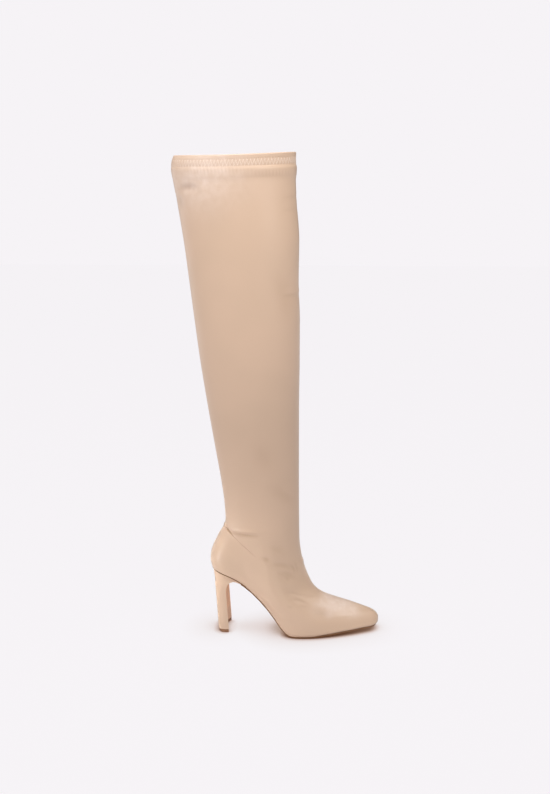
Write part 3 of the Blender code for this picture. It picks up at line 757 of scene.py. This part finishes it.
def faux_leather(name, pale, deep, grain_mm, gloss, roughness):
    """Polyurethane-coated stretch cloth, pressed with a fine grain."""
    material, shader = new_material(name, IOR=1.48, Roughness=roughness, Specular_IOR_Level=gloss)
    coords = add_node(material, "ShaderNodeTexCoord")
    drift = add_node(material, "ShaderNodeTexNoise", {"Scale": per_metre(DRIFT_MM), "Detail": 1.0},
                     {"Vector": (coords, "Object")})
    coat = add_node(material, "ShaderNodeValToRGB", links={"Fac": (drift, "Fac")},
                    stops=((0.35, deep), (0.65, pale)))
    # Painted shade: the colour is darkened in the creases
    crease_shade = add_node(material, "ShaderNodeAttribute", attribute_name="crease_shade")
    crease_shade_share = add_node(material, "ShaderNodeMath", {1: CREASE_SHADE_STRENGTH},
                            {0: (crease_shade, "Fac")}, operation="MULTIPLY")
    crease_shaded = add_node(material, "ShaderNodeMix", {MIX_B: linear(CREASE_SHADE_TONE)},
                       {MIX_FACTOR: (crease_shade_share, "Value"), MIX_A: (coat, "Color")},
                       data_type="RGBA")
    # Painted highlight: a pale, patchy sheen is mixed into the colour on the sheen spots
    painted_sheen = add_node(material, "ShaderNodeAttribute", attribute_name="painted_sheen")
    patchy = add_node(material, "ShaderNodeTexNoise", {"Scale": per_metre(PATCH_MM), "Detail": 3.0},
                      {"Vector": (coords, "Object")})
    painted_sheen_share = add_node(material, "ShaderNodeMath", links={0: (painted_sheen, "Fac"), 1: (patchy, "Fac")},
                           operation="MULTIPLY")
    with_painted_sheen = add_node(material, "ShaderNodeMix", {MIX_B: linear(PAINTED_SHEEN_TONE)},
                       {MIX_FACTOR: (painted_sheen_share, "Value"), MIX_A: (crease_shaded, MIX_RESULT)},
                       data_type="RGBA")
    grain = add_node(material, "ShaderNodeTexVoronoi",
                     {"Scale": per_metre(grain_mm), "Randomness": 0.9},
                     {"Vector": (coords, "Object")}, feature="SMOOTH_F1")
    pores = add_node(material, "ShaderNodeTexNoise", {"Scale": per_metre(PORE_MM), "Detail": 2.0},
                     {"Vector": (coords, "Object")})
    coarse = add_node(material, "ShaderNodeBump", {"Strength": 0.2, "Distance": 0.0003},
                      {"Height": (grain, "Distance")})
    fine = add_node(material, "ShaderNodeBump", {"Strength": 0.15, "Distance": 0.0001},
                    {"Height": (pores, "Fac"), "Normal": (coarse, "Normal")})
    links = material.node_tree.links
    links.new(with_painted_sheen.outputs[MIX_RESULT], shader.inputs["Base Color"])
    links.new(fine.outputs["Normal"], shader.inputs["Normal"])
    return material


upper_leather = faux_leather("stretch_faux_leather_matt_grained", "D8B99F", "D4B69C",
                             grain_mm=1.2, gloss=0.5, roughness=0.36)
heel_leather = faux_leather("faux_leather_wrapped_on_heel", "E0C2A8", "DDBEA4",
                            grain_mm=1.0, gloss=0.2, roughness=0.6)
print("leathers:", upper_leather.name, heel_leather.name)

# %% [markdown]
# ## Knitted backing
# Inside the leg the bare knit of the stretch cloth shows: fine ribs, dull and slightly fuzzy.
# They follow the UV map, so they run up the leg. A wave repeats 3.18 times in one unit of its
# coordinate, so the scale gives 764 ribs round the leg, about half a millimetre apart.

# %% Knit
KNIT_SCALE = 240
KNIT_WAVER_MM = 1.4
lining, lining_shader = new_material("knitted_backing_ribbed", Roughness=0.9, Sheen_Weight=0.3)
knit_uv = add_node(lining, "ShaderNodeUVMap")
knit_scale = add_node(lining, "ShaderNodeMapping",
                      {"Scale": (KNIT_SCALE, per_metre(KNIT_WAVER_MM), 1)},
                      {"Vector": (knit_uv, "UV")})
knit = add_node(lining, "ShaderNodeTexWave", {"Scale": 1.0, "Distortion": 0.6, "Detail": 1.0},
                {"Vector": (knit_scale, "Vector")}, bands_direction="X")
knit_colour = add_node(lining, "ShaderNodeValToRGB", links={"Fac": (knit, "Fac")},
                       stops=((0.0, "BFA48D"), (1.0, "D6BEA9")))
knit_bump = add_node(lining, "ShaderNodeBump", {"Strength": 0.5, "Distance": 0.0003},
                     {"Height": (knit, "Fac")})
lining.node_tree.links.new(knit_colour.outputs["Color"], lining_shader.inputs["Base Color"])
lining.node_tree.links.new(knit_bump.outputs["Normal"], lining_shader.inputs["Normal"])

skin.data.materials.clear()
skin.data.materials.append(upper_leather)
skin.data.materials.append(lining)
print("skin outside and in:", [material.name for material in skin.data.materials])

# %% [markdown]
# ## Heel, top piece, sole and sock
# These are hard pieces whose shapes the CAD model already has. Each gets a copy whose edges are
# softened by a small bevel, as moulding and wrapping leave them, and a finish of its own. The
# sole is rubber from a mould, satin and a little cloudy in colour. The top piece is a denser and
# duller rubber, and the sock is brushed and quite dull. The heel is covered with the coated
# cloth of the shaft, pulled tight, so that its grain is finer and it shines less.

# %% Dress the hard pieces
FLAT_ANGLE = 0.5
EDGE_ANGLE = 32
SMOOTH_ANGLE = 40
CLOUD_MM = 9


def dressed(node_name, piece_name, material, edge):
    """A copy of a CAD node with its edges rounded, standing for that node."""
    piece = copy_of(node_name, piece_name)
    piece.data.materials.append(material)
    bpy.ops.object.mode_set(mode="EDIT")
    bpy.ops.mesh.select_all(action="SELECT")
    bpy.ops.mesh.dissolve_limited(angle_limit=math.radians(FLAT_ANGLE))
    bpy.ops.object.mode_set(mode="OBJECT")
    apply_modifier(piece, "BEVEL", width=edge, segments=2, limit_method="ANGLE",
                   angle_limit=math.radians(EDGE_ANGLE))
    only(piece)
    bpy.ops.object.shade_smooth_by_angle(angle=math.radians(SMOOTH_ANGLE))
    return piece


def moulded(name, pale, deep, roughness, grit_mm):
    """Satin or dull, slightly cloudy in colour, with a fine grit: the rubbers and the sock."""
    material, shader = new_material(name, IOR=1.52, Roughness=roughness)
    coords = add_node(material, "ShaderNodeTexCoord")
    cloud = add_node(material, "ShaderNodeTexNoise", {"Scale": per_metre(CLOUD_MM), "Detail": 4.0},
                     {"Vector": (coords, "Object")})
    colour = add_node(material, "ShaderNodeValToRGB", links={"Fac": (cloud, "Fac")},
                      stops=((0.3, deep), (0.7, pale)))
    grit = add_node(material, "ShaderNodeTexNoise", {"Scale": per_metre(grit_mm), "Detail": 2.0},
                    {"Vector": (coords, "Object")})
    bump = add_node(material, "ShaderNodeBump", {"Strength": 0.3, "Distance": 0.0002},
                    {"Height": (grit, "Fac")})
    material.node_tree.links.new(colour.outputs["Color"], shader.inputs["Base Color"])
    material.node_tree.links.new(bump.outputs["Normal"], shader.inputs["Normal"])
    return material


sole_rubber = moulded("thermoplastic_rubber_moulded_satin", "92673F", "825937",
                      roughness=0.45, grit_mm=0.8)
tip_rubber = moulded("dense_rubber_top_piece", "9C7050", "8B6145", roughness=0.55, grit_mm=0.6)
sock_cloth = moulded("sock_of_brushed_faux_leather", "DCC7B2", "D0B9A2",
                     roughness=0.75, grit_mm=0.9)
outsole = dressed("outsole", "outsole_dressed", sole_rubber, edge=0.0005)
heel = dressed("heel", "heel_wrapped", heel_leather, edge=0.0006)
heel_tip = dressed("heel_tip", "heel_top_piece", tip_rubber, edge=0.0004)
insole = dressed("insole", "sock_lining", sock_cloth, edge=0.0004)
print("pieces:", [piece.name for piece in (outsole, heel, heel_tip, insole)])

# %% [markdown]
# ## Tread
# The sole and the top piece are moulded with fine ribs across the foot, so that they don't slip.
# The ribs are too shallow to show in the outline, so a bump draws them, and a mask keeps it on
# the faces that look down. A wave repeats every tenth of two pi, hence its scale.

# %% Tread
TREAD_MM = 2.4
DOWNWARD = -0.8


def add_tread(material):
    """Fine moulded ribs across the foot, on the faces that look down."""
    shader = material.node_tree.nodes["Principled BSDF"]
    grit = shader.inputs["Normal"].links[0].from_node
    coords = add_node(material, "ShaderNodeTexCoord")
    ribs = add_node(material, "ShaderNodeTexWave", {"Scale": math.pi / 10 * per_metre(TREAD_MM)},
                    {"Vector": (coords, "Object")}, bands_direction="X")
    facing = add_node(material, "ShaderNodeSeparateXYZ", links={"Vector": (coords, "Normal")})
    below = add_node(material, "ShaderNodeMath", {1: DOWNWARD}, {0: (facing, "Z")},
                     operation="LESS_THAN")
    height = add_node(material, "ShaderNodeMath", links={0: (ribs, "Fac"), 1: (below, "Value")},
                      operation="MULTIPLY")
    tread = add_node(material, "ShaderNodeBump", {"Strength": 0.8, "Distance": 0.0004},
                     {"Height": (height, "Value"), "Normal": (grit, "Normal")})
    material.node_tree.links.new(tread.outputs["Normal"], shader.inputs["Normal"])


add_tread(sole_rubber)
add_tread(tip_rubber)
print("tread ribs", TREAD_MM, "mm apart")

# %% [markdown]
# ## Small changes to the hard pieces
# The top piece is ground back a little under the heel's back edge, and the cover of the heel is
# drawn up and out behind the counter, where it is folded over the seat. Both are done by moving
# vertices, by a share that fades to nothing along the piece.

# %% Back corner of the top piece
CORNER_DEPTH = 0.0026
CORNER_LENGTH = 0.0060
tip_points = read_points(heel_tip)
tip_back, tip_top = tip_points[:, 0].min(), tip_points[:, 2].max()
near_back = np.clip(1 - (tip_points[:, 0] - tip_back) / CORNER_LENGTH, 0, 1)
tip_points[:, 0] += CORNER_DEPTH * near_back * (1 - tip_points[:, 2] / tip_top)
heel_tip.data.vertices.foreach_set("co", tip_points.reshape(-1).astype(np.float32))
heel_tip.data.update()
print("top piece corner set in by", 1000 * CORNER_DEPTH, "mm")

# %% Rim of the heel, drawn up behind the counter
RIM_LIFT = 0.0020
RIM_FLARE = 0.0020
RIM_FRONT_X = -0.0040
RIM_BACK_X = -0.0100
RIM_ROOT_Z = 0.0740
RIM_TOP_Z = 0.0872
RIM_CENTRE = Vector((0.02, 0, 0))


def rim_share(x):
    """How far the rim is drawn up at a place along the shoe: 1 at the back, 0 at the sides."""
    share = np.clip((RIM_FRONT_X - x) / (RIM_FRONT_X - RIM_BACK_X), 0, 1)
    return share ** 2 * (3 - 2 * share)


heel_points = read_points(heel)
up_heel = np.clip((heel_points[:, 2] - RIM_ROOT_Z) / (RIM_TOP_Z - RIM_ROOT_Z), 0, 1)
share = rim_share(heel_points[:, 0]) * up_heel
outward = heel_points[:, :2] - np.array(RIM_CENTRE[:2])
outward /= np.linalg.norm(outward, axis=1, keepdims=True)
heel_points[:, :2] += RIM_FLARE * share[:, None] * outward
heel_points[:, 2] += RIM_LIFT * share
heel.data.vertices.foreach_set("co", heel_points.reshape(-1).astype(np.float32))
heel.data.update()
print("heel rim drawn up by", 1000 * RIM_LIFT, "mm")

# %% [markdown]
# ## Painted shade over the heel seat
# A thin dark brown line, which is painted shade in the joint, runs between the counter and the
# heel. It is a bead of the sole's rubber a little over a millimetre thick, laid along the feather
# line from one side of the heel's lip round the back to the other, and lifted with the rim.

# %% Painted shade bead over the heel seat
SEAT_SHADE_END_X = 0.0360
SEAT_SHADE_RADIUS = 0.0006
SEAT_SHADE_OUT = 0.0009
SEAT_SHADE_OUT_AT_RIM = 0.0008
SEAT_SHADE_UP = 0.0002
SEAT_SHADE_UP_AT_RIM = 0.0012
seat_points = [point for point in feather if point[0] < SEAT_SHADE_END_X]
seat_curve = bpy.data.curves.new("seat_shade_bead", "CURVE")
seat_curve.dimensions = "3D"
seat_curve.bevel_depth = SEAT_SHADE_RADIUS
seat_curve.bevel_resolution = 2
seat_curve.use_fill_caps = True
spline = seat_curve.splines.new("POLY")
spline.points.add(len(seat_points) - 1)
for point, place in zip(spline.points, seat_points):
    outward = (Vector((place[0], place[1], 0)) - RIM_CENTRE).normalized()
    drawn = float(rim_share(place[0]))
    moved = Vector(place) + (SEAT_SHADE_OUT + SEAT_SHADE_OUT_AT_RIM * drawn) * outward
    point.co = (*moved[:2], moved[2] + SEAT_SHADE_UP + SEAT_SHADE_UP_AT_RIM * drawn, 1)
seat_shade_bead = bpy.data.objects.new("seat_shade_bead", seat_curve)
bpy.context.scene.collection.objects.link(seat_shade_bead)
only(seat_shade_bead)
bpy.ops.object.convert(target="MESH")
bpy.ops.object.shade_smooth()
seat_shade_bead.data.materials.clear()
# Painted shade: the bead's dark brown stands for the shade in the joint
seat_shade_bead.data.materials.append(sole_rubber)
print("seat edge:", len(seat_shade_bead.data.polygons), "faces")

# %% [markdown]
# ## The folded hem
# At the collar the material is folded inwards and sewn down with a stretch zigzag. The fold is a
# sheet of its own with finer columns, because the thread draws a small pucker at each needle
# hole. It comes up the inside, goes over the top edge and down the outside, and both its edges
# lie inside the skin's wall. Below the stitches the doubled material swells into a soft band.

# %% Hem sheet
ZIGZAG_PAIRS = 88
COLUMNS_PER_PAIR = 8
ZIGZAG_TOP = 0.0062
ZIGZAG_BOTTOM = 0.0142
HEM_BAND = 0.0440
SWELL_START = 0.0145
SWELL_CREST = 0.0198
MELT_END = 0.0395
BACK_SHORTER = 0.0055
BACK_SINK = 0.0010
HEM_OUT = 0.0006
HEM_IN = -0.0025
HEM_TURN = 0.0011
PUCKER = 0.0006
SWELL = 0.0010
COLLAR_LIFT = 0.0018
FOLD_DEPTH = 0.0125
STITCHED_END = 0.0150
BAND_START = 0.0160
LAST_STEP = 0.0030
INSIDE_ROWS, TURN_ROWS, STITCHED_ROWS, BAND_ROWS = 7, 9, 16, 20
HemRow = namedtuple("HemRow", "depth out")

hem_columns = ZIGZAG_PAIRS * COLUMNS_PER_PAIR
ring = last_points(np.full(len(angles), hem_place(ZIGZAG_TOP)), angles)
run = np.concatenate([[0], np.linalg.norm(np.roll(ring, -1, axis=0) - ring, axis=1).cumsum()])
hem_run = np.arange(hem_columns) * run[-1] / hem_columns
hem_angles = np.interp(hem_run, run, np.append(angles, 2 * math.pi))
pair_length = run[-1] / ZIGZAG_PAIRS
phase = np.arange(hem_columns) / COLUMNS_PER_PAIR
swing = np.abs(2 * (phase % 1) - 1)
stitch_depth = ZIGZAG_TOP + (ZIGZAG_BOTTOM - ZIGZAG_TOP) * swing

# The section of the sheet: depth below the collar and distance out from the last's surface. It
# starts hidden in the wall, comes up the inside, turns over the edge and goes down the outside.
profile = [HemRow(HEM_BAND, -0.0008), HemRow(0.0148, -0.0012), HemRow(0.0138, -0.0020)]
profile += [HemRow(depth, HEM_IN) for depth in np.linspace(FOLD_DEPTH, HEM_TURN, INSIDE_ROWS)]
middle, reach = (HEM_OUT + HEM_IN) / 2, (HEM_OUT - HEM_IN) / 2
profile += [HemRow(HEM_TURN * (1 - math.sin(t)), middle - reach * math.cos(t))
            for t in np.linspace(0, math.pi, TURN_ROWS)[1:-1]]
outer_start = len(profile)
profile += [HemRow(depth, HEM_OUT) for depth in np.linspace(HEM_TURN, STITCHED_END, STITCHED_ROWS)]
profile += [HemRow(depth, HEM_OUT) for depth in np.linspace(BAND_START, MELT_END, BAND_ROWS)]
profile += [HemRow(MELT_END + LAST_STEP, HEM_OUT - 0.0001), HemRow(HEM_BAND, 0.0)]
profile_depth, profile_out = column(profile, "depth"), column(profile, "out")
print("hem:", len(profile), "rows by", hem_columns, "columns")


# %% The hem's rows on the last
SLOPE_REACH = 0.0005


def hem_surface(depths):
    """Points and outward normals of the last at depths below the collar, one row each."""
    rows = last_points(hem_place(depths)[:, None], hem_angles[None, :])
    lower = last_points(hem_place(depths + SLOPE_REACH)[:, None], hem_angles[None, :])
    around = np.roll(rows, -1, axis=1) - np.roll(rows, 1, axis=1)
    normals = np.cross(lower - rows, around)
    return rows, normals / np.linalg.norm(normals, axis=2, keepdims=True)


hem_rows, hem_normals = hem_surface(profile_depth)
depth_grid = np.broadcast_to(profile_depth[:, None], hem_rows.shape[:2])
out = np.repeat(profile_out[:, None], hem_columns, axis=1)
back = (1 - np.cos(hem_angles)) / 2
outer_rows = np.arange(len(profile))[:, None] >= outer_start
print("hem rows outside:", int(outer_rows.sum()))

# %% [markdown]
# ## Swell and pucker of the hem
# Under the stitches the doubled material swells out, most at the front, and melts into the shaft
# at its lower end. At the back the sheet ends sooner and dips into the wall, so that no edge
# shows. The thread draws the material in, along each stitch and most at each needle hole, and a
# few soft ripples run down from the stitches where the photograph shows them.

# %% Swell
SINK_RUN = 0.004
BACK_SWELL = 0.45
FRONT_POWER = 0.7
rise = np.clip((depth_grid - SWELL_START) / (SWELL_CREST - SWELL_START), 0, 1)
melt_end = MELT_END - BACK_SHORTER * back
melt = np.clip((depth_grid - SWELL_CREST) / (melt_end - SWELL_CREST), 0, 1)
sink = BACK_SINK * back * np.clip((depth_grid - melt_end) / SINK_RUN, 0, 1)
rise, melt = (share ** 2 * (3 - 2 * share) for share in (rise, melt))
towards_front = np.clip(np.cos(hem_angles), 0, 1) ** FRONT_POWER
fullness = BACK_SWELL + (1 - BACK_SWELL) * towards_front
swell = SWELL * rise * (1 - melt) * fullness - HEM_OUT * melt - sink
print("most swell in mm:", round(1000 * float(swell.max()), 2))

# %% Pucker
LINE_SHARE = 0.45
LINE_LEAN = 0.4
LINE_WIDTH = 0.0005
HOLE_WIDTH = 0.0009
PUCKER_MARGIN = 0.002
# The distance to a stitch is measured down the hem and shortened by the way the stitch leans
to_line = np.abs(depth_grid - stitch_depth) * LINE_LEAN
hole_across = (phase % 0.5 - 0.5 * (phase % 0.5 > 0.25)) * pair_length
hole_down = np.minimum(np.abs(depth_grid - ZIGZAG_TOP), np.abs(depth_grid - ZIGZAG_BOTTOM))
to_hole = np.hypot(hole_across, hole_down)
drawn_in = PUCKER * (LINE_SHARE * np.exp(-(to_line / LINE_WIDTH) ** 2)
                     + (1 - LINE_SHARE) * np.exp(-(to_hole / HOLE_WIDTH) ** 2))
within = ((depth_grid > ZIGZAG_TOP - PUCKER_MARGIN)
          & (depth_grid < ZIGZAG_BOTTOM + PUCKER_MARGIN))
print("needle holes:", 2 * ZIGZAG_PAIRS)

# %% Ripples
# Centre and width of each group, down the hem in metres and round it as an angle
Ripple = namedtuple("Ripple", "depth height angle width")
RIPPLES = [
    Ripple(0.0205, 0.0036, 4.35, 0.5),
    Ripple(0.0245, 0.0022, 5.60, 0.4),
]
RIPPLE = 0.00016
ripples = np.zeros(depth_grid.shape)
for row in RIPPLES:
    ripples += RIPPLE * np.cos(2 * math.pi * phase) * np.exp(
        -((depth_grid - row.depth) / row.height) ** 2 - ((hem_angles - row.angle) / row.width) ** 2)
print("groups of ripples:", len(RIPPLES))

# %% Lay the hem
out = out + np.where(outer_rows, swell - drawn_in * within + ripples, 0.0)
out = out + fold_move(hem_rows, hem_normals) * outer_rows
hem_net = hem_rows + out[:, :, None] * hem_normals
hem_net[:, :, 2] += COLLAR_LIFT * back * (1 - depth_grid / HEM_BAND)
hem_net[0] = hem_net[-1]
hem_fold, _ = wrapped_grid("hem_fold", hem_net)
only(hem_fold)
bpy.ops.object.shade_smooth()
mark(hem_fold)
hem_fold.data.materials.append(upper_leather)
print("hem fold:", 2 * len(hem_fold.data.polygons), "triangles")

# %% [markdown]
# ## The zigzag
# One stitch is a bead of pale thread, thick in the middle and sunk at both needle holes. It is
# modelled once and laid along the hem, leaning one way and then the other. Spun polyester is a
# little fuzzy, so it has some sheen and no gloss.

# %% Zigzag
THREAD = 0.00065
THREAD_OVERLAP = 1.06
THREAD_LIFT = 0.35


def hem_point(number, depth):
    """Point on the outside of the hem at a column and a depth below the collar."""
    line = hem_net[outer_start:, number % hem_columns]
    depths = profile_depth[outer_start:]
    return Vector([np.interp(depth, depths, line[:, axis]) for axis in range(3)])


bpy.ops.object.select_all(action="DESELECT")
bpy.ops.mesh.primitive_uv_sphere_add(segments=8, ring_count=7, radius=0.5)
bead = bpy.context.object
thread_mesh = bmesh.new()
half_pair = COLUMNS_PER_PAIR // 2
for number in range(2 * ZIGZAG_PAIRS):
    depths = (ZIGZAG_TOP, ZIGZAG_BOTTOM) if number % 2 else (ZIGZAG_BOTTOM, ZIGZAG_TOP)
    start = hem_point(number * half_pair, depths[0])
    end = hem_point((number + 1) * half_pair, depths[1])
    out_way = Vector(hem_normals[outer_start, (number * half_pair + half_pair // 2) % hem_columns])
    along = (end - start).normalized()
    side = out_way.cross(along).normalized()
    turned = Matrix((side, along.cross(side) * -1, along)).transposed().to_4x4()
    size = Matrix.Diagonal((THREAD, THREAD, (end - start).length * THREAD_OVERLAP, 1))
    place = Matrix.Translation((start + end) / 2 + out_way * THREAD * THREAD_LIFT)
    before = len(thread_mesh.verts)
    thread_mesh.from_mesh(bead.data)
    thread_mesh.verts.ensure_lookup_table()
    bmesh.ops.transform(thread_mesh, matrix=place @ turned @ size, verts=thread_mesh.verts[before:])
bpy.data.objects.remove(bead)
bmesh.ops.recalc_face_normals(thread_mesh, faces=thread_mesh.faces)
stitch_data = bpy.data.meshes.new("hem_zigzag")
thread_mesh.to_mesh(stitch_data)
thread_mesh.free()
stitches = bpy.data.objects.new("hem_zigzag", stitch_data)
bpy.context.scene.collection.objects.link(stitches)
only(stitches)
bpy.ops.object.shade_smooth()
thread, _ = new_material("polyester_thread_spun", Base_Color=linear("EBD8C9"), Roughness=0.6,
                         Sheen_Weight=0.3)
stitches.data.materials.append(thread)
print("zigzag stitches:", 2 * ZIGZAG_PAIRS)

# %% [markdown]
# ## Which body each piece rides on
# The boot has no joints, so every piece rides on the one body, and the dressed pieces stand for
# the CAD nodes that they were made from.

# %% Ride and replace
PIECES = [
    (skin, "upper", "upper"),
    (hem_fold, None, "upper"),
    (stitches, None, "upper"),
    (seat_shade_bead, None, "outsole"),
    (outsole, "outsole", "outsole"),
    (heel, "heel", "heel_cover"),
    (heel_tip, "heel_tip", "heel_tip"),
    (insole, "insole", "insole"),
]
for piece, node_name, slot in PIECES:
    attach(piece, "root")
    if node_name:
        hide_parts(node_name)
print("pieces riding on root:", len(PIECES))

# %% [markdown]
# ## Studio
# The boot stands on a plain pale floor that runs on into the backdrop. The floor glows from
# within, so it is as even as the backdrop, and a painted shadow darkens its glow by how much the
# boot shelters it: widely under the arch, and sharply where sole and top piece touch it.

# %% Floor
SHELTER_REACH = 0.055
CONTACT_REACH = 0.009
# Painted shadow: colours of the floor's glow, from where the boot shelters it most to open floor
PAINTED_SHADOW_STOPS = ((0.0, "80624C"), (0.3, "B09889"), (0.55, "E2D5D2"), (0.8, "F0EBEC"), (1.0, "F6F3F6"))
PAINTED_CONTACT_SHADOW_STOPS = ((0.25, "A08674"), (0.65, "EADFD9"), (1.0, "FFFFFF"))
bpy.ops.object.select_all(action="DESELECT")
bpy.ops.mesh.primitive_plane_add(size=12, location=(0, 0, 0))
floor = bpy.context.object
floor.name = "floor"
floor_paint, floor_shader = new_material("glowing_studio_floor_with_painted_shadow", Roughness=1.0,
                                         Base_Color=(0.02, 0.02, 0.02, 1), Specular_IOR_Level=0.0,
                                         Emission_Strength=0.985)
shelter = add_node(floor_paint, "ShaderNodeAmbientOcclusion", {"Distance": SHELTER_REACH},
                   samples=16)
shade = add_node(floor_paint, "ShaderNodeValToRGB", links={"Fac": (shelter, "AO")},
                 stops=PAINTED_SHADOW_STOPS)
contact = add_node(floor_paint, "ShaderNodeAmbientOcclusion", {"Distance": CONTACT_REACH},
                   samples=16)
touch = add_node(floor_paint, "ShaderNodeValToRGB", links={"Fac": (contact, "AO")},
                 stops=PAINTED_CONTACT_SHADOW_STOPS)
shadow = add_node(floor_paint, "ShaderNodeMix", {MIX_FACTOR: 1.0},
                  {MIX_A: (shade, "Color"), MIX_B: (touch, "Color")}, data_type="RGBA",
                  blend_type="MULTIPLY")
floor_paint.node_tree.links.new(shadow.outputs[MIX_RESULT], floor_shader.inputs["Emission Color"])
floor.data.materials.append(floor_paint)
print("floor shades within", 1000 * SHELTER_REACH, "mm of the boot")

# %% [markdown]
# ## Lights
# Seven soft square lights, none of which the camera sees. The main one stands behind the boot's
# back on the camera's side, and the one overhead lights the instep and the toes. The rim light
# from further behind draws the pale line down the back of the shaft. Three narrow weak ones lift
# the front of the hem, the heel and the toe, and a warm card beside the sole stands for the
# colour that the floor and the sole throw onto the heel's breast.

# %% Seven lights
WIDE = 180
Light = namedtuple("Light", "name place target size power tint spread")
LIGHTS = [
    Light("main_light", (-1.0, -1.0, 1.35), (0.05, 0, 0.45), 0.8, 5.9, "FFFFFF", WIDE),
    Light("hem_light", (0.7, -0.75, 0.85), (0.08, 0, 0.6), 0.4, 0.085, "FFFFFF", 25),
    Light("overhead_light", (0.12, -0.35, 1.4), (0.14, 0, 0.0), 0.8, 11.5, "FFFFFF", WIDE),
    Light("rim_light", (-1.3, 0.6, 0.35), (0.0, 0, 0.3), 1.0, 2.0, "FFFFFF", WIDE),
    Light("heel_light", (-0.7, -0.4, 0.06), (0.0, 0, 0.06), 0.2, 0.06, "FFFFFF", 20),
    Light("toe_light", (0.5, -0.2, 0.5), (0.18, 0, 0.03), 0.2, 0.035, "FFFFFF", 30),
    Light("warm_card", (0.17, 0.22, 0.03), (0.0, 0, 0.035), 0.08, 0.013, "FFB078", 22),
]
for row in LIGHTS:
    bpy.ops.object.light_add(type="AREA", location=row.place)
    light = bpy.context.object
    light.name = row.name
    light.data.size = row.size
    light.data.energy = row.power
    light.data.color = linear(row.tint)[:3]
    light.data.spread = math.radians(row.spread)
    light.visible_camera = False
    aim = Vector(row.target) - Vector(row.place)
    light.rotation_euler = aim.to_track_quat("-Z", "Y").to_euler()
print("lights:", [row.name for row in LIGHTS])

# %% [markdown]
# ## Air
# The camera sees an even backdrop, while the boot is lit by a weaker one that fades from the
# heel's side to the toe's, as a studio with one large window would light it.

# %% World
AIR_TONE = "F6F3F6"
AIR_AT_HEEL = 0.38
AIR_AT_TOE = 0.12
world = bpy.data.worlds.new("studio_air")
bpy.context.scene.world = world
world.use_nodes = True
seen = world.node_tree.nodes["Background"]
seen.inputs["Color"].default_value = linear(AIR_TONE)
way = add_node(world, "ShaderNodeTexCoord")
ways = add_node(world, "ShaderNodeSeparateXYZ", links={"Vector": (way, "Generated")})
amount = add_node(world, "ShaderNodeMapRange",
                  {"From Min": -1.0, "From Max": 1.0, "To Min": AIR_AT_HEEL, "To Max": AIR_AT_TOE},
                  {"Value": (ways, "X")})
lit = add_node(world, "ShaderNodeBackground", {"Color": linear(AIR_TONE)},
               {"Strength": (amount, "Result")})
path = add_node(world, "ShaderNodeLightPath")
mix = add_node(world, "ShaderNodeMixShader",
               links={0: (path, "Is Camera Ray"), 1: (lit, "Background"), 2: (seen, "Background")})
world_end = world.node_tree.nodes["World Output"]
world.node_tree.links.new(mix.outputs["Shader"], world_end.inputs["Surface"])
bpy.context.scene.view_settings.view_transform = "Standard"
print("world:", AIR_TONE, "to the camera, strength", AIR_AT_HEEL, "to", AIR_AT_TOE, "on the boot")
